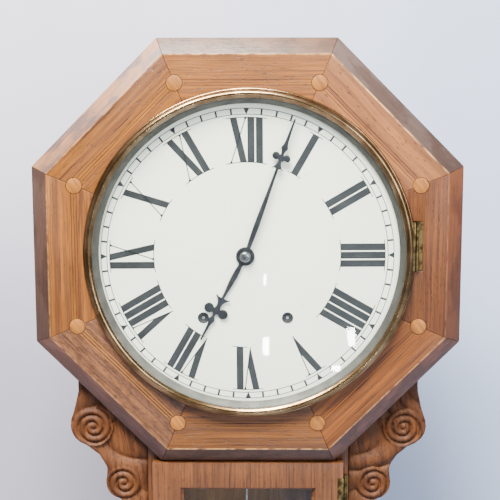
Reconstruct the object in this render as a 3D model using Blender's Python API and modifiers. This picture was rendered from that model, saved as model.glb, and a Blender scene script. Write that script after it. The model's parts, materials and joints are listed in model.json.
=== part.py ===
import math

import bmesh
import bpy
from mathutils import Matrix, Vector

# An octagonal drop-dial wall clock: mitred head, hinged bezel, trunk with a glazed door,
# and an eight-day striking movement with its pendulum and gong.
# Sizes are in millimetres and are scaled to metres as each mesh is made.
# Places are given as seen from the front: x to the right, z up from the middle of the head,
# and h forwards from the wall, so a point's world place is (x, -h, z).

MM = 0.001
FIT = 0.3                       # air between two pieces that touch
MESH_PLAY = 0.12                # shake between two wheels in mesh

# Driving dimensions: the head
HEAD_ACROSS_FLATS = 432.0
HEAD_FRONT = 108.0
HEAD_THICKNESS = 22.0
CHAMFER_WIDTH = 16.0
CHAMFER_DEPTH = 12.5
OPENING_RADIUS = 150.0
REBATE_RADIUS = 161.5
REBATE_FLOOR = 103.0
WINDOW = (92.0, 105.0)          # half sizes of the opening behind the dial

# Driving dimensions: the case and the trunk
CASE_HALF_WIDTH = 105.0
BOARD = 12.0
BACKBOARD = 8.0
CASE_TOP = 118.0
TRUNK_BOTTOM = -408.0
FOOT_BOTTOM = -452.0
CASE_FRONT = HEAD_FRONT - HEAD_THICKNESS - FIT
HANGER = {"half_width": 17.0, "bottom": 84.0, "top": 142.0, "thickness": 2.0, "hole": 5.0}

# Driving dimensions: the trunk door
DOOR = {"half_width": 99.0, "top": -217.6, "bottom": -402.0, "back": 86.0, "front": 99.0,
        "stile": 29.0, "rail": 27.0, "rebate": 4.5, "glass": 2.2}
DOOR_AXIS = (101.7, 88.3)       # x and h of the door's hinge line
DOOR_HINGES = (-250.0, -374.0)
CATCH = {"x": -85.0, "z": -310.0, "knob": 6.0, "shaft": 2.0}

# Driving dimensions: the bezel, which is centred a little left of the head
BEZEL_X = -1.0
BEZEL_RADIUS = 168.2
BEZEL_LIP = 157.0
BEZEL_CREST = 120.0
SIGHT_RADIUS = 150.4
GLASS_H = (114.5, 116.3)
BEZEL_CATCH_X = -153.2          # middle of the spring tongue that holds the bezel shut
BEZEL_AXIS = (169.1, 109.5)     # x and h of the bezel's hinge line
HINGE_Z = (-14.0, -4.0, 15.3, 35.0)
HINGE_KNUCKLE = 1.8
HINGE_BORE = 1.1

# Driving dimensions: the dial and hands, centred on the movement
HANDS_X = -2.0
DIAL = {"radius": 159.0, "front": 104.5, "thickness": 1.2}
WINDING = (42.5, -63.0)         # winding holes, right one, from the centre of the hands
WINDING_HOLE = 5.6
MINUTE_ANGLE = 19.85            # clockwise from twelve, in degrees
HOUR_ANGLE = 208.0

# Driving dimensions: the movement
BACK_PLATE = (54.0, 55.5)
FRONT_PLATE = (90.0, 91.5)
PLATE_EDGE = (-84.0, 84.0, -102.0, 74.0)
ARBOR = 1.5
PIVOT_HOLE = 2.0
PIVOT_Z = 60.0                  # pallets and suspension
BOB = {"radius": 33.0, "thickness": 14.0, "z": -330.0}
PENDULUM_H = 39.0
GONG = {"x": -2.0, "z": -180.0, "outer": 44.0, "inner": 17.0, "wire": 1.7, "h": 24.0}

FACES = 48                      # sides of the large rings

FINISHES = {
    "oak": ((0.60, 0.40, 0.25), 0.45, 0.0),
    "carved_oak": ((0.42, 0.26, 0.15), 0.5, 0.0),
    "pine": ((0.55, 0.40, 0.25), 0.7, 0.0),
    "brass": ((0.62, 0.47, 0.26), 0.35, 1.0),
    "old_brass": ((0.40, 0.33, 0.20), 0.5, 1.0),
    "grey_metal": ((0.50, 0.49, 0.46), 0.5, 0.6),
    "glass": ((0.90, 0.95, 0.95), 0.05, 0.0),
    "dial_paint": ((0.85, 0.87, 0.84), 0.5, 0.0),
    "blued_steel": ((0.16, 0.20, 0.26), 0.35, 1.0),
    "steel": ((0.50, 0.50, 0.52), 0.35, 1.0),
    "iron": ((0.10, 0.10, 0.11), 0.6, 0.8),
}


def start_scene():
    for thing in list(bpy.data.objects):
        bpy.data.objects.remove(thing, do_unlink=True)
    parts = bpy.data.collections.new("schoolhouse_clock")
    guides = bpy.data.collections.new("cutters")
    bpy.context.scene.collection.children.link(parts)
    bpy.context.scene.collection.children.link(guides)
    return parts, guides


PARTS, GUIDES = start_scene()


def make_finish(name):
    color, roughness, metallic = FINISHES[name]
    material = bpy.data.materials.new(name)
    material.use_nodes = True
    shader = material.node_tree.nodes["Principled BSDF"]
    shader.inputs["Base Color"].default_value = (*color, 1.0)
    shader.inputs["Roughness"].default_value = roughness
    shader.inputs["Metallic"].default_value = metallic
    return material


MATERIALS = {name: make_finish(name) for name in FINISHES}


# ---- placing and joining ----------------------------------------------------------------

def place(piece, x=0.0, z=0.0, h=0.0, turn=0.0):
    """The piece's own +Z faces the viewer and its own +Y is up; turn is anticlockwise."""
    piece.location = (x * MM, -h * MM, z * MM)
    piece.rotation_euler = (math.pi / 2, -turn, 0.0)
    return piece


def add_object(name, mesh, finish=None, smooth=None):
    piece = bpy.data.objects.new(name, mesh)
    if finish:
        mesh.materials.append(MATERIALS[finish])
        PARTS.objects.link(piece)
    else:
        GUIDES.objects.link(piece)
        piece.hide_render = True
        piece.display_type = "WIRE"
    if smooth:
        mesh.shade_smooth()
        mesh.set_sharp_from_angle(angle=math.radians(smooth))
    return piece


def mesh_from(bm, name):
    bmesh.ops.recalc_face_normals(bm, faces=bm.faces)
    bmesh.ops.scale(bm, vec=Vector((MM, MM, MM)), verts=bm.verts)
    mesh = bpy.data.meshes.new(name)
    bm.to_mesh(mesh)
    bm.free()
    return mesh


def boolean(piece, other, operation):
    modifier = piece.modifiers.new(operation.lower(), "BOOLEAN")
    modifier.operation = operation
    modifier.solver = "EXACT"
    modifier.object = other
    return piece


def cut(piece, cutter):
    return boolean(piece, cutter, "DIFFERENCE")


def join(piece, other):
    return boolean(piece, other, "UNION")


def hang_on_axis(name, pieces, x, z, h):
    """An empty on a hinge line carries the pieces that swing on it."""
    axis = bpy.data.objects.new(name, None)
    axis.location = (x * MM, -h * MM, z * MM)
    PARTS.objects.link(axis)
    bpy.context.view_layer.update()
    for piece in pieces:
        piece.parent = axis
        piece.matrix_parent_inverse = axis.matrix_world.inverted()
    return axis


# ---- basic shapes -----------------------------------------------------------------------

def box(name, x, z, h, finish=None, bevel=0.0):
    """x, z and h are each a (low, high) pair."""
    bm = bmesh.new()
    size = Vector((x[1] - x[0], h[1] - h[0], z[1] - z[0]))
    bmesh.ops.create_cube(bm, size=1.0, matrix=Matrix.Diagonal(size).to_4x4())
    piece = add_object(name, mesh_from(bm, name), finish)
    middle = (sum(x) / 2, -sum(h) / 2, sum(z) / 2)
    piece.location = Vector(middle) * MM
    if bevel:
        modifier = piece.modifiers.new("edges", "BEVEL")
        modifier.width = bevel * MM
        modifier.segments = 1
    return piece


def disc(name, radius, h, finish=None, x=0.0, z=0.0, sides=16):
    """A plain round bar or disc whose axis points forwards; h is (back, front)."""
    bm = bmesh.new()
    bmesh.ops.create_cone(bm, cap_ends=True, segments=sides, radius1=radius, radius2=radius,
                          depth=h[1] - h[0])
    piece = add_object(name, mesh_from(bm, name), finish, smooth=35)
    return place(piece, x, z, sum(h) / 2)


def turned(name, profile, finish=None, x=0.0, z=0.0, steps=FACES, closed=True):
    """profile is (radius, h) points that run down the outer side, front to back."""
    bm = bmesh.new()
    points = [bm.verts.new((radius * MM, 0.0, h * MM)) for radius, h in profile]
    for first, second in zip(points, points[1:]):
        bm.edges.new((first, second))
    if closed:
        bm.edges.new((points[-1], points[0]))
    mesh = bpy.data.meshes.new(name)
    bm.to_mesh(mesh)
    bm.free()
    piece = add_object(name, mesh, finish)
    screw = piece.modifiers.new("turn", "SCREW")
    screw.steps = steps
    screw.render_steps = steps
    screw.use_merge_vertices = True
    screw.merge_threshold = 1e-6
    screw.use_smooth_shade = True
    return place(piece, x, z)


def flat(name, loops, h, finish=None, x=0.0, z=0.0, turn=0.0):
    """A sheet or board cut to a front outline; the first loop is its rim, the rest are holes."""
    curve = bpy.data.curves.new(name, "CURVE")
    curve.dimensions = "2D"
    curve.fill_mode = "BOTH"
    curve.extrude = (h[1] - h[0]) / 2
    for loop in loops:
        spline = curve.splines.new("POLY")
        spline.points.add(len(loop) - 1)
        for point, (across, up) in zip(spline.points, loop):
            point.co = (across, up, 0.0, 1.0)
        spline.use_cyclic_u = True
    outline = bpy.data.objects.new(name + "_outline", curve)
    GUIDES.objects.link(outline)
    bpy.context.view_layer.update()
    graph = bpy.context.evaluated_depsgraph_get()
    filled = bpy.data.meshes.new_from_object(outline.evaluated_get(graph), depsgraph=graph)
    bm = bmesh.new()
    bm.from_mesh(filled)
    bmesh.ops.remove_doubles(bm, verts=bm.verts, dist=1e-3)
    bpy.data.objects.remove(outline, do_unlink=True)
    bpy.data.meshes.remove(filled)
    piece = add_object(name, mesh_from(bm, name), finish)
    return place(piece, x, z, sum(h) / 2, turn)


def wire(name, points, radius, finish=None, resolution=2):
    """A round wire along (x, z, h) points, made a closed mesh so that it can be joined."""
    curve = bpy.data.curves.new(name, "CURVE")
    curve.dimensions = "3D"
    curve.bevel_depth = radius * MM
    curve.bevel_resolution = resolution
    curve.use_fill_caps = True
    spline = curve.splines.new("POLY")
    spline.points.add(len(points) - 1)
    for point, (x, z, h) in zip(spline.points, points):
        point.co = (x * MM, -h * MM, z * MM, 1.0)
    path = bpy.data.objects.new(name + "_path", curve)
    GUIDES.objects.link(path)
    bpy.context.view_layer.update()
    graph = bpy.context.evaluated_depsgraph_get()
    mesh = bpy.data.meshes.new_from_object(path.evaluated_get(graph), depsgraph=graph)
    bm = bmesh.new()
    bm.from_mesh(mesh)
    bmesh.ops.remove_doubles(bm, verts=bm.verts, dist=1e-6)
    bmesh.ops.recalc_face_normals(bm, faces=bm.faces)
    bm.to_mesh(mesh)
    bm.free()
    bpy.data.objects.remove(path, do_unlink=True)
    mesh.materials.clear()
    return add_object(name, mesh, finish)


def polar(radius, angle, centre=(0.0, 0.0)):
    return (centre[0] + radius * math.cos(angle), centre[1] + radius * math.sin(angle))


def arc(radius, start, end, count, centre=(0.0, 0.0)):
    """count + 1 points from start to end, in degrees."""
    angles = [math.radians(start + (end - start) * step / count) for step in range(count + 1)]
    return [polar(radius, angle, centre) for angle in angles]


def circle(radius, centre=(0.0, 0.0), sides=12):
    return arc(radius, 0.0, 360.0, sides, centre)[:-1]


def rectangle(x, z):
    return [(x[0], z[0]), (x[1], z[0]), (x[1], z[1]), (x[0], z[1])]


# ---- the octagonal head -----------------------------------------------------------------

def surround_segment(number, opening_cut):
    """One mitred board of the head; number 1 is at three o'clock and they run anticlockwise."""
    apothem = HEAD_ACROSS_FLATS / 2
    half_turn = math.pi / 8
    seam = FIT / 2 / math.cos(half_turn)
    outer = apothem * math.tan(half_turn) - seam
    trim = math.degrees(math.asin(FIT / 2 / OPENING_RADIUS))
    inner = arc(OPENING_RADIUS, 22.5 - trim, -22.5 + trim, 8)
    outline = [(apothem, -outer), (apothem, outer)] + inner
    turn = 2 * half_turn * (number - 1)
    back = HEAD_FRONT - HEAD_THICKNESS
    name = "surround_segment_%d" % number
    board = flat(name, [outline], (back, HEAD_FRONT), "oak", turn=turn)
    slope_chamfer(board.data, apothem, HEAD_THICKNESS / 2)
    return cut(board, opening_cut)


def slope_chamfer(mesh, apothem, front):
    bm = bmesh.new()
    bm.from_mesh(mesh)
    point = Vector((apothem - CHAMFER_WIDTH, 0.0, front)) * MM
    normal = Vector((CHAMFER_DEPTH, 0.0, CHAMFER_WIDTH)).normalized()
    everything = list(bm.verts) + list(bm.edges) + list(bm.faces)
    result = bmesh.ops.bisect_plane(bm, geom=everything, dist=1e-7, plane_co=point,
                                    plane_no=normal, clear_outer=True)
    rim = [item for item in result["geom_cut"] if isinstance(item, bmesh.types.BMEdge)]
    bmesh.ops.holes_fill(bm, edges=rim, sides=0)
    bmesh.ops.recalc_face_normals(bm, faces=bm.faces)
    bm.to_mesh(mesh)
    bm.free()


def catch_slot():
    x = BEZEL_CATCH_X
    return box("catch_slot", (x - 1.6, x + 1.6), (-5.5, 5.5), (90.0, HEAD_FRONT))


def make_head():
    rebate = disc("dial_rebate", REBATE_RADIUS, (REBATE_FLOOR, HEAD_FRONT + 4.0), sides=FACES)
    segments = [surround_segment(number, rebate) for number in range(1, 9)]
    mortise = box("hinge_mortise", (162.3, 175.1), (HINGE_Z[0] - 0.5, HINGE_Z[3] + 0.5),
                  (106.3, HEAD_FRONT + 4.0))
    cut(segments[0], mortise)
    cut(segments[4], catch_slot())
    window = rectangle((-WINDOW[0], WINDOW[0]), (-WINDOW[1], WINDOW[1]))
    flat("dial_board", [circle(OPENING_RADIUS - FIT, sides=FACES), window],
         (HEAD_FRONT - HEAD_THICKNESS + FIT, REBATE_FLOOR - FIT), "pine")


# ---- the case -----------------------------------------------------------------------------

def make_case():
    inside = CASE_HALF_WIDTH - BOARD
    walls = (BACKBOARD + FIT, CASE_FRONT)
    back = box("backboard", (-CASE_HALF_WIDTH, CASE_HALF_WIDTH), (TRUNK_BOTTOM, CASE_TOP),
               (0.0, BACKBOARD), "pine")
    seat = box("hanger_seat", (-HANGER["half_width"] - FIT, HANGER["half_width"] + FIT),
               (HANGER["bottom"] - FIT, CASE_TOP + 4.0), (-4.0, HANGER["thickness"] + FIT))
    cut(back, seat)
    box("case_side_left", (-CASE_HALF_WIDTH, -inside), (TRUNK_BOTTOM, CASE_TOP), walls, "oak")
    box("case_side_right", (inside, CASE_HALF_WIDTH), (TRUNK_BOTTOM, CASE_TOP), walls, "oak")
    between = (-inside + FIT, inside - FIT)
    box("case_top", between, (CASE_TOP - BOARD, CASE_TOP), walls, "pine")
    box("trunk_floor", between, (TRUNK_BOTTOM, TRUNK_BOTTOM + BOARD), walls, "pine")
    make_foot()
    make_hanger()
    for side, name in ((-1, "carved_ear_left"), (1, "carved_ear_right")):
        carved_ear(name, side)


def make_foot():
    top = TRUNK_BOTTOM - FIT
    half = [(CASE_HALF_WIDTH + 3.0, top), (CASE_HALF_WIDTH + 3.0, top - 7.0), (97.0, top - 13.0),
            (66.0, FOOT_BOTTOM)]
    outline = half + [(-x, z) for x, z in reversed(half)]
    flat("trunk_foot", [outline], (1.0, CASE_FRONT + 3.0), "oak")


def make_hanger():
    wide, top = HANGER["half_width"], HANGER["top"]
    outline = [(-wide, HANGER["bottom"]), (wide, HANGER["bottom"]), (wide, top - wide)]
    outline += arc(wide, 30.0, 150.0, 6, (0.0, top - wide)) + [(-wide, top - wide)]
    hole = circle(HANGER["hole"], (0.0, top - wide))
    flat("hanger_plate", [outline, hole], (0.0, HANGER["thickness"]), "steel")


def carved_ear(name, side):
    """The outline hangs from behind the head, swells at the shoulder and curls in below."""
    edge = CASE_HALF_WIDTH + FIT
    shoulder = [(172.0, -118.0), (176.5, -130.0), (177.0, -146.0), (180.0, -160.0)]
    lobe = arc(22.0, 30.0, -75.0, 6, (164.0, -182.0))
    waist = [(156.0, -214.0), (148.0, -228.0)]
    second = arc(19.0, 20.0, -80.0, 5, (131.0, -244.0))
    tail = [(124.0, -276.0), (118.0, -292.0), (edge, -308.0)]
    outline = [(edge, -104.0), (150.0, -104.0)] + shoulder + lobe + waist + second + tail
    outline = [(side * x, z) for x, z in outline]
    return flat(name, [outline], (62.0, CASE_FRONT), "carved_oak")


# ---- the trunk door -------------------------------------------------------------------------

def make_door():
    wide, top, bottom = DOOR["half_width"], DOOR["top"], DOOR["bottom"]
    across = (-wide + DOOR["stile"], wide - DOOR["stile"])
    upright = (bottom + DOOR["rail"], top - DOOR["rail"])
    rim = rectangle((-wide, wide), (bottom, top))
    shaft_hole = circle(CATCH["shaft"] + 0.5, (CATCH["x"], CATCH["z"]))
    frame = flat("door_frame", [rim, rectangle(across, upright), shaft_hole],
                 (DOOR["back"], DOOR["front"]), "oak")
    step = DOOR["rebate"]
    rebate_x = (across[0] - step, across[1] + step)
    rebate_z = (upright[0] - step, upright[1] + step)
    glass_h = (DOOR["back"] + 2.5, DOOR["back"] + 2.5 + DOOR["glass"])
    cut(frame, box("glass_rebate", rebate_x, rebate_z, (DOOR["back"] - 4.0, glass_h[1] + FIT)))
    glass = box("door_glass", (rebate_x[0] + FIT, rebate_x[1] - FIT),
                (rebate_z[0] + FIT, rebate_z[1] - FIT), glass_h, "glass")
    for name, z in zip(("door_hinge_upper", "door_hinge_lower"), DOOR_HINGES):
        door_hinge(name, z)
    catch = door_catch()
    box("door_strike", (-92.7, -88.6), (CATCH["z"] - 8.0, CATCH["z"] + 8.0), (82.2, 84.5),
        "old_brass")
    hang_on_axis("door_axis", [frame, glass, catch], DOOR_AXIS[0], -310.0, DOOR_AXIS[1])


def upright_bar(name, x, z, h, radius, finish=None, sides=12):
    """A round bar that stands upright; z is (low, high)."""
    bm = bmesh.new()
    bmesh.ops.create_cone(bm, cap_ends=True, segments=sides, radius1=radius, radius2=radius,
                          depth=z[1] - z[0])
    piece = add_object(name, mesh_from(bm, name), finish, smooth=35)
    piece.location = Vector((x, -h, sum(z) / 2)) * MM
    return piece


def door_hinge(name, z):
    x, h = DOOR_AXIS
    barrel = upright_bar(name, x, (z - 16.0, z + 16.0), h, 2.2, "old_brass")
    return join(barrel, box(name + "_leaf", (x - 1.2, 104.8), (z - 15.0, z + 15.0), (86.0, 87.2)))


def door_catch():
    """A turned knob whose shaft passes through the stile to a short bar behind it."""
    x, z = CATCH["x"], CATCH["z"]
    knob_profile = [(0.0, 109.0), (3.0, 108.6), (CATCH["knob"], 106.0), (CATCH["knob"], 104.6),
                    (3.2, 102.6), (3.2, 100.6), (5.2, 99.4), (CATCH["shaft"], 99.4),
                    (CATCH["shaft"], 79.0), (0.0, 79.0)]
    knob = turned("door_catch", knob_profile, "old_brass", x, z, steps=16, closed=False)
    bar = box("catch_bar", (x - 2.8, x + 2.8), (z - 6.8, z + 3.0), (78.9, 81.4))
    return join(knob, bar)


# ---- the bezel --------------------------------------------------------------------------------

def bezel_profile():
    lip, rim = BEZEL_LIP, BEZEL_RADIUS
    under = GLASS_H[1] + FIT
    foot = HEAD_FRONT + FIT
    roll = arc(4.4, 150.0, 10.0, 4, (lip + 4.6, BEZEL_CREST - 4.4))
    bead = arc(1.9, 110.0, -10.0, 3, (rim - 1.9, foot + 2.4))
    step = lip + 2.2
    return [(lip, under), *roll, *bead, (rim, foot), (step, foot), (step, under)]


def sight_profile():
    """A thin cone from a flange behind the glass in to the edge of the dial."""
    back = GLASS_H[0] - FIT
    outer = BEZEL_LIP + 1.8
    return [(BEZEL_LIP - 0.6, back), (outer, back), (outer, back - 1.0), (BEZEL_LIP, back - 1.0),
            (SIGHT_RADIUS + 0.9, 106.8), (SIGHT_RADIUS, 107.2), (SIGHT_RADIUS, 108.2)]


def hinge_leaf(name, leaf_x, h, spans):
    """A leaf with knuckles round the bezel's hinge line; spans are the knuckles' heights."""
    x, axis_h = BEZEL_AXIS
    leaf = box(name, leaf_x, (spans[0][0], spans[-1][1]), h, "old_brass")
    for number, span in enumerate(spans):
        knuckle = upright_bar("%s_knuckle_%d" % (name, number), x, span, axis_h, HINGE_KNUCKLE)
        join(leaf, knuckle)
    bore = upright_bar(name + "_bore", x, (HINGE_Z[0] - 5, HINGE_Z[3] + 5), axis_h, HINGE_BORE)
    return cut(leaf, bore)


def make_bezel():
    ring = turned("bezel_ring", bezel_profile(), "brass", BEZEL_X)
    sight = turned("sight_ring", sight_profile(), "grey_metal", BEZEL_X)
    glass = disc("bezel_glass", BEZEL_LIP + 1.6, GLASS_H, "glass", BEZEL_X, sides=FACES)
    catch = box("bezel_catch", (-153.8, -152.6), (-4.0, 4.0), (96.0, 106.6), "old_brass")
    low, lower, upper, high = HINGE_Z
    axis_x = BEZEL_AXIS[0]
    fixed_leaf = hinge_leaf("bezel_hinge_case_leaf", (axis_x - 0.3, 174.8), (106.6, 107.9),
                            [(low, lower - FIT / 2), (upper + FIT / 2, high)])
    notch = box("leaf_notch", (axis_x - 3.0, axis_x + 2.4), (lower - FIT, upper + FIT), (105.0, 109.0))
    cut(fixed_leaf, notch)
    swinging_leaf = hinge_leaf("bezel_hinge_bezel_leaf", (162.6, axis_x), (106.6, 107.9),
                               [(lower + FIT / 2, upper - FIT / 2)])
    upright_bar("bezel_hinge_pin", axis_x, (low - 0.8, high + 0.8), BEZEL_AXIS[1],
                HINGE_BORE - FIT, "old_brass", sides=8)
    hang_on_axis("bezel_axis", [ring, sight, glass, catch, swinging_leaf], axis_x, 0.0,
                 BEZEL_AXIS[1])


# ---- the dial and hands -----------------------------------------------------------------------

def make_dial():
    front, thick = DIAL["front"], DIAL["thickness"]
    x, z = WINDING
    holes = [circle(6.0, sides=16), circle(WINDING_HOLE, (x, z), 16),
             circle(WINDING_HOLE, (-x, z), 16)]
    plate = flat("dial", [circle(DIAL["radius"], sides=FACES)] + holes, (front - thick, front),
                 "dial_paint", HANDS_X)
    cut(plate, catch_slot())


def mirrored(half):
    """half runs up the right side of an outline; its mirror image runs back down the left."""
    return half + [(-x, y) for x, y in reversed(half) if x > 0.0]


def minute_outline():
    hub = arc(5.7, -90.0, 76.0, 6)
    stem = [(1.6, 12.0), (2.7, 34.0), (1.9, 60.0), (0.9, 86.0)]
    barb = [(1.0, 92.0), (5.0, 90.6), (3.4, 95.4), (1.0, 98.0)]
    lobe = [(1.0, 102.0)] + arc(3.5, 220.0, 500.0, 8, (5.1, 105.4))[1:-1] + [(1.0, 109.0)]
    tip = [(0.9, 111.5), (2.7, 115.7), (1.0, 121.0), (0.35, 145.0)]
    return mirrored(hub[1:] + stem + barb + lobe + tip)


def hour_outline():
    hub = arc(9.4, -90.0, 81.0, 8)
    stem = [(1.4, 13.0), (2.1, 27.0), (1.1, 44.0)]
    barb = [(1.2, 49.0), (7.4, 46.2), (4.8, 52.0), (1.2, 54.5)]
    lobe = [(1.2, 57.5)] + arc(4.8, 215.0, 505.0, 8, (7.2, 61.4))[1:-1] + [(1.2, 66.0)]
    tip = [(1.1, 68.5), (3.0, 73.0), (1.1, 78.5), (0.35, 96.4)]
    return mirrored(hub[1:] + stem + barb + lobe + tip)


def make_hands():
    flat("hour_hand", [hour_outline(), circle(4.3, sides=16)], (106.2, 107.1), "blued_steel",
         HANDS_X, turn=-math.radians(HOUR_ANGLE))
    flat("minute_hand", [minute_outline(), circle(2.9)], (109.0, 109.8), "blued_steel",
         HANDS_X, turn=-math.radians(MINUTE_ANGLE))
    dome = [(0.0, 113.2), (2.4, 113.0), (4.4, 112.3), (5.5, 111.2), (5.5, 110.1), (0.0, 110.1)]
    turned("hand_collet", dome, "steel", HANDS_X, steps=20, closed=False)


# ---- wheelwork ----------------------------------------------------------------------------------

def distance(a, b):
    return math.hypot(b[0] - a[0], b[1] - a[1])


def bearing(a, b):
    return math.atan2(b[1] - a[1], b[0] - a[0])


def reach(module, wheel_teeth, pinion_teeth):
    """How far apart two arbors stand when their teeth mesh with a little shake."""
    return module * (wheel_teeth + pinion_teeth) / 2 + MESH_PLAY


def meeting_point(a, from_a, b, from_b, side):
    """The point at one distance from a and another from b, on one side of the line a to b."""
    apart = distance(a, b)
    along = (from_a ** 2 - from_b ** 2 + apart ** 2) / (2 * apart)
    off = math.sqrt(from_a ** 2 - along ** 2) * side
    heading = bearing(a, b)
    foot = polar(along, heading, a)
    return polar(off, heading + math.pi / 2, foot)


CENTRE = (0.0, 0.0)
GOING = WINDING
STRIKE = (-WINDING[0], WINDING[1])

# Teeth and modules of each meshing pair: wheel teeth, pinion teeth, module
FIRST_PAIR = (64, 16, 1.0)
SECOND_PAIR = (48, 16, 1.2)
CENTRE_PAIR = (60, 6, 0.9)
THIRD_PAIR = (48, 6, 0.7)
MOTION_PAIR = (48, 16, 0.65)    # minute wheel and cannon pinion
HOUR_TEETH = (48, 12)           # hour wheel and minute pinion, at the same centres
ESCAPE = {"teeth": 36, "radius": 16.0, "root": 12.8}


def pair_reach(pair):
    return reach(pair[2], pair[0], pair[1])


SECOND = meeting_point(GOING, pair_reach(FIRST_PAIR), CENTRE, pair_reach(SECOND_PAIR), -1)
THIRD = polar(pair_reach(CENTRE_PAIR), math.radians(60.0))
ESCAPE_ARBOR = (0.0, THIRD[1] + math.sqrt(pair_reach(THIRD_PAIR) ** 2 - THIRD[0] ** 2))
PALLET_ARBOR = (0.0, PIVOT_Z)
MINUTE_STUD = polar(pair_reach(MOTION_PAIR), math.radians(200.0))
PIN_ARBOR = polar(pair_reach(FIRST_PAIR), math.radians(95.0), STRIKE)
WARNING_ARBOR = polar(pair_reach(CENTRE_PAIR), math.radians(75.0), PIN_ARBOR)
FLY_ARBOR = polar(pair_reach(THIRD_PAIR), math.radians(100.0), WARNING_ARBOR)
HAMMER_ARBOR = (-78.0, -48.0)


def gear_loop(teeth, module, phase):
    """Pointed teeth with sharp roots between them; phase points at a tooth."""
    pitch = module * teeth / 2
    tip, root = pitch + 0.8 * module, pitch - 1.1 * module
    loop = []
    for index in range(teeth):
        angle = phase + 2 * math.pi * index / teeth
        loop.append(polar(root, angle - math.pi / teeth))
        loop.append(polar(tip, angle))
    return loop


def crossings(inner, outer, count=4):
    """The openings between a wheel's spokes."""
    loops = []
    for index in range(count):
        start = 360.0 * index / count + 12.0
        end = 360.0 * (index + 1) / count - 12.0
        loops.append(arc(outer, start, end, 3) + arc(inner, end - 12.0, start + 12.0, 1))
    return loops


def wheel(name, teeth, module, h, phase, finish=None, at=CENTRE, bore=0.0, hub=6.0):
    pitch = module * teeth / 2
    loops = [gear_loop(teeth, module, phase)] + crossings(hub, pitch - 3.2 * module)
    if bore:
        loops.append(circle(bore))
    return flat(name, loops, h, finish, HANDS_X + at[0], at[1])


def pinion(name, teeth, module, h, mate, at):
    """A solid-leaved pinion with a gap between two leaves turned towards its mate."""
    phase = bearing(at, mate) + math.pi / teeth
    return flat(name, [gear_loop(teeth, module, phase)], h, None, HANDS_X + at[0], at[1])


def arbor(name, at, h, radius=ARBOR, sides=8):
    return disc(name, radius, h, None, HANDS_X + at[0], at[1], sides)


THROUGH = (BACK_PLATE[0] - 0.7, FRONT_PLATE[1] + 0.7)


def going_train():
    great_wheel("great_wheel_going", GOING, SECOND)
    winding_arbor("winding_arbor_going", GOING)
    mainspring("mainspring_going", GOING, 1)

    second = wheel("second_wheel", SECOND_PAIR[0], SECOND_PAIR[2], (85.5, 87.0),
                   bearing(SECOND, CENTRE), "brass", SECOND)
    join(second, pinion("second_pinion", FIRST_PAIR[1], FIRST_PAIR[2], (57.5, 63.0), GOING, SECOND))
    join(second, arbor("second_arbor", SECOND, THROUGH))

    centre = wheel("centre_wheel", CENTRE_PAIR[0], CENTRE_PAIR[2], (78.0, 79.4),
                   bearing(CENTRE, THIRD), "brass")
    join(centre, pinion("centre_pinion", SECOND_PAIR[1], SECOND_PAIR[2], (84.0, 88.6), SECOND, CENTRE))
    join(centre, arbor("centre_arbor", CENTRE, (THROUGH[0], 109.6)))

    third = wheel("third_wheel", THIRD_PAIR[0], THIRD_PAIR[2], (66.0, 67.3),
                  bearing(THIRD, ESCAPE_ARBOR), "brass", THIRD, hub=4.5)
    join(third, pinion("third_pinion", CENTRE_PAIR[1], CENTRE_PAIR[2], (76.5, 81.0), CENTRE, THIRD))
    join(third, arbor("third_arbor", THIRD, THROUGH, 1.2))

    escape = flat("escape_wheel", [escape_loop()] + crossings(3.6, 10.0), (60.0, 61.2), "brass",
                  HANDS_X, ESCAPE_ARBOR[1])
    join(escape, pinion("escape_pinion", THIRD_PAIR[1], THIRD_PAIR[2], (64.0, 69.0), THIRD, ESCAPE_ARBOR))
    join(escape, arbor("escape_arbor", ESCAPE_ARBOR, THROUGH, 1.2))


def escape_loop():
    """Pointed teeth that lean forwards."""
    loop = []
    step = 2 * math.pi / ESCAPE["teeth"]
    for index in range(ESCAPE["teeth"]):
        angle = step * index
        loop.append(polar(ESCAPE["root"], angle))
        loop.append(polar(ESCAPE["root"], angle + 0.45 * step))
        loop.append(polar(ESCAPE["radius"], angle + 0.85 * step))
    return loop


def great_wheel(name, at, mate):
    teeth, _, module = FIRST_PAIR
    return wheel(name, teeth, module, (59.0, 61.4), bearing(at, mate), "brass", at, bore=3.4,
                 hub=11.0)


def winding_arbor(name, at):
    """A stout arbor with its ratchet wheel and the square that the key turns."""
    x, z = HANDS_X + at[0], at[1]
    ratchet = []
    for index in range(12):
        ratchet.append(polar(7.2, math.radians(30.0 * index)))
        ratchet.append(polar(9.4, math.radians(30.0 * index + 4.0)))
    piece = flat(name, [ratchet], (61.9, 63.3), "steel", x, z)
    join(piece, arbor(name + "_bar", at, (THROUGH[0], 93.0), 3.0, 16))
    return join(piece, box(name + "_square", (x - 2.1, x + 2.1), (z - 2.1, z + 2.1), (92.0, 103.6)))


def mainspring(name, at, hand):
    """A ribbon wound from the arbor outwards."""
    turns, steps, inner, outer = 3.5, 12, 3.9, 29.0
    count = int(turns * steps)
    bm = bmesh.new()
    edge = []
    for step in range(count + 1):
        share = step / count
        x, y = polar(inner + (outer - inner) * share, hand * 2 * math.pi * turns * share)
        edge.append((bm.verts.new((x, y, -8.5)), bm.verts.new((x, y, 8.5))))
    for first, second in zip(edge, edge[1:]):
        bm.faces.new((first[0], second[0], second[1], first[1]))
    piece = add_object(name, mesh_from(bm, name), "steel")
    leaf = piece.modifiers.new("leaf", "SOLIDIFY")
    leaf.thickness = 0.6 * MM
    leaf.offset = 0.0
    return place(piece, HANDS_X + at[0], at[1], 73.0)


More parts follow.
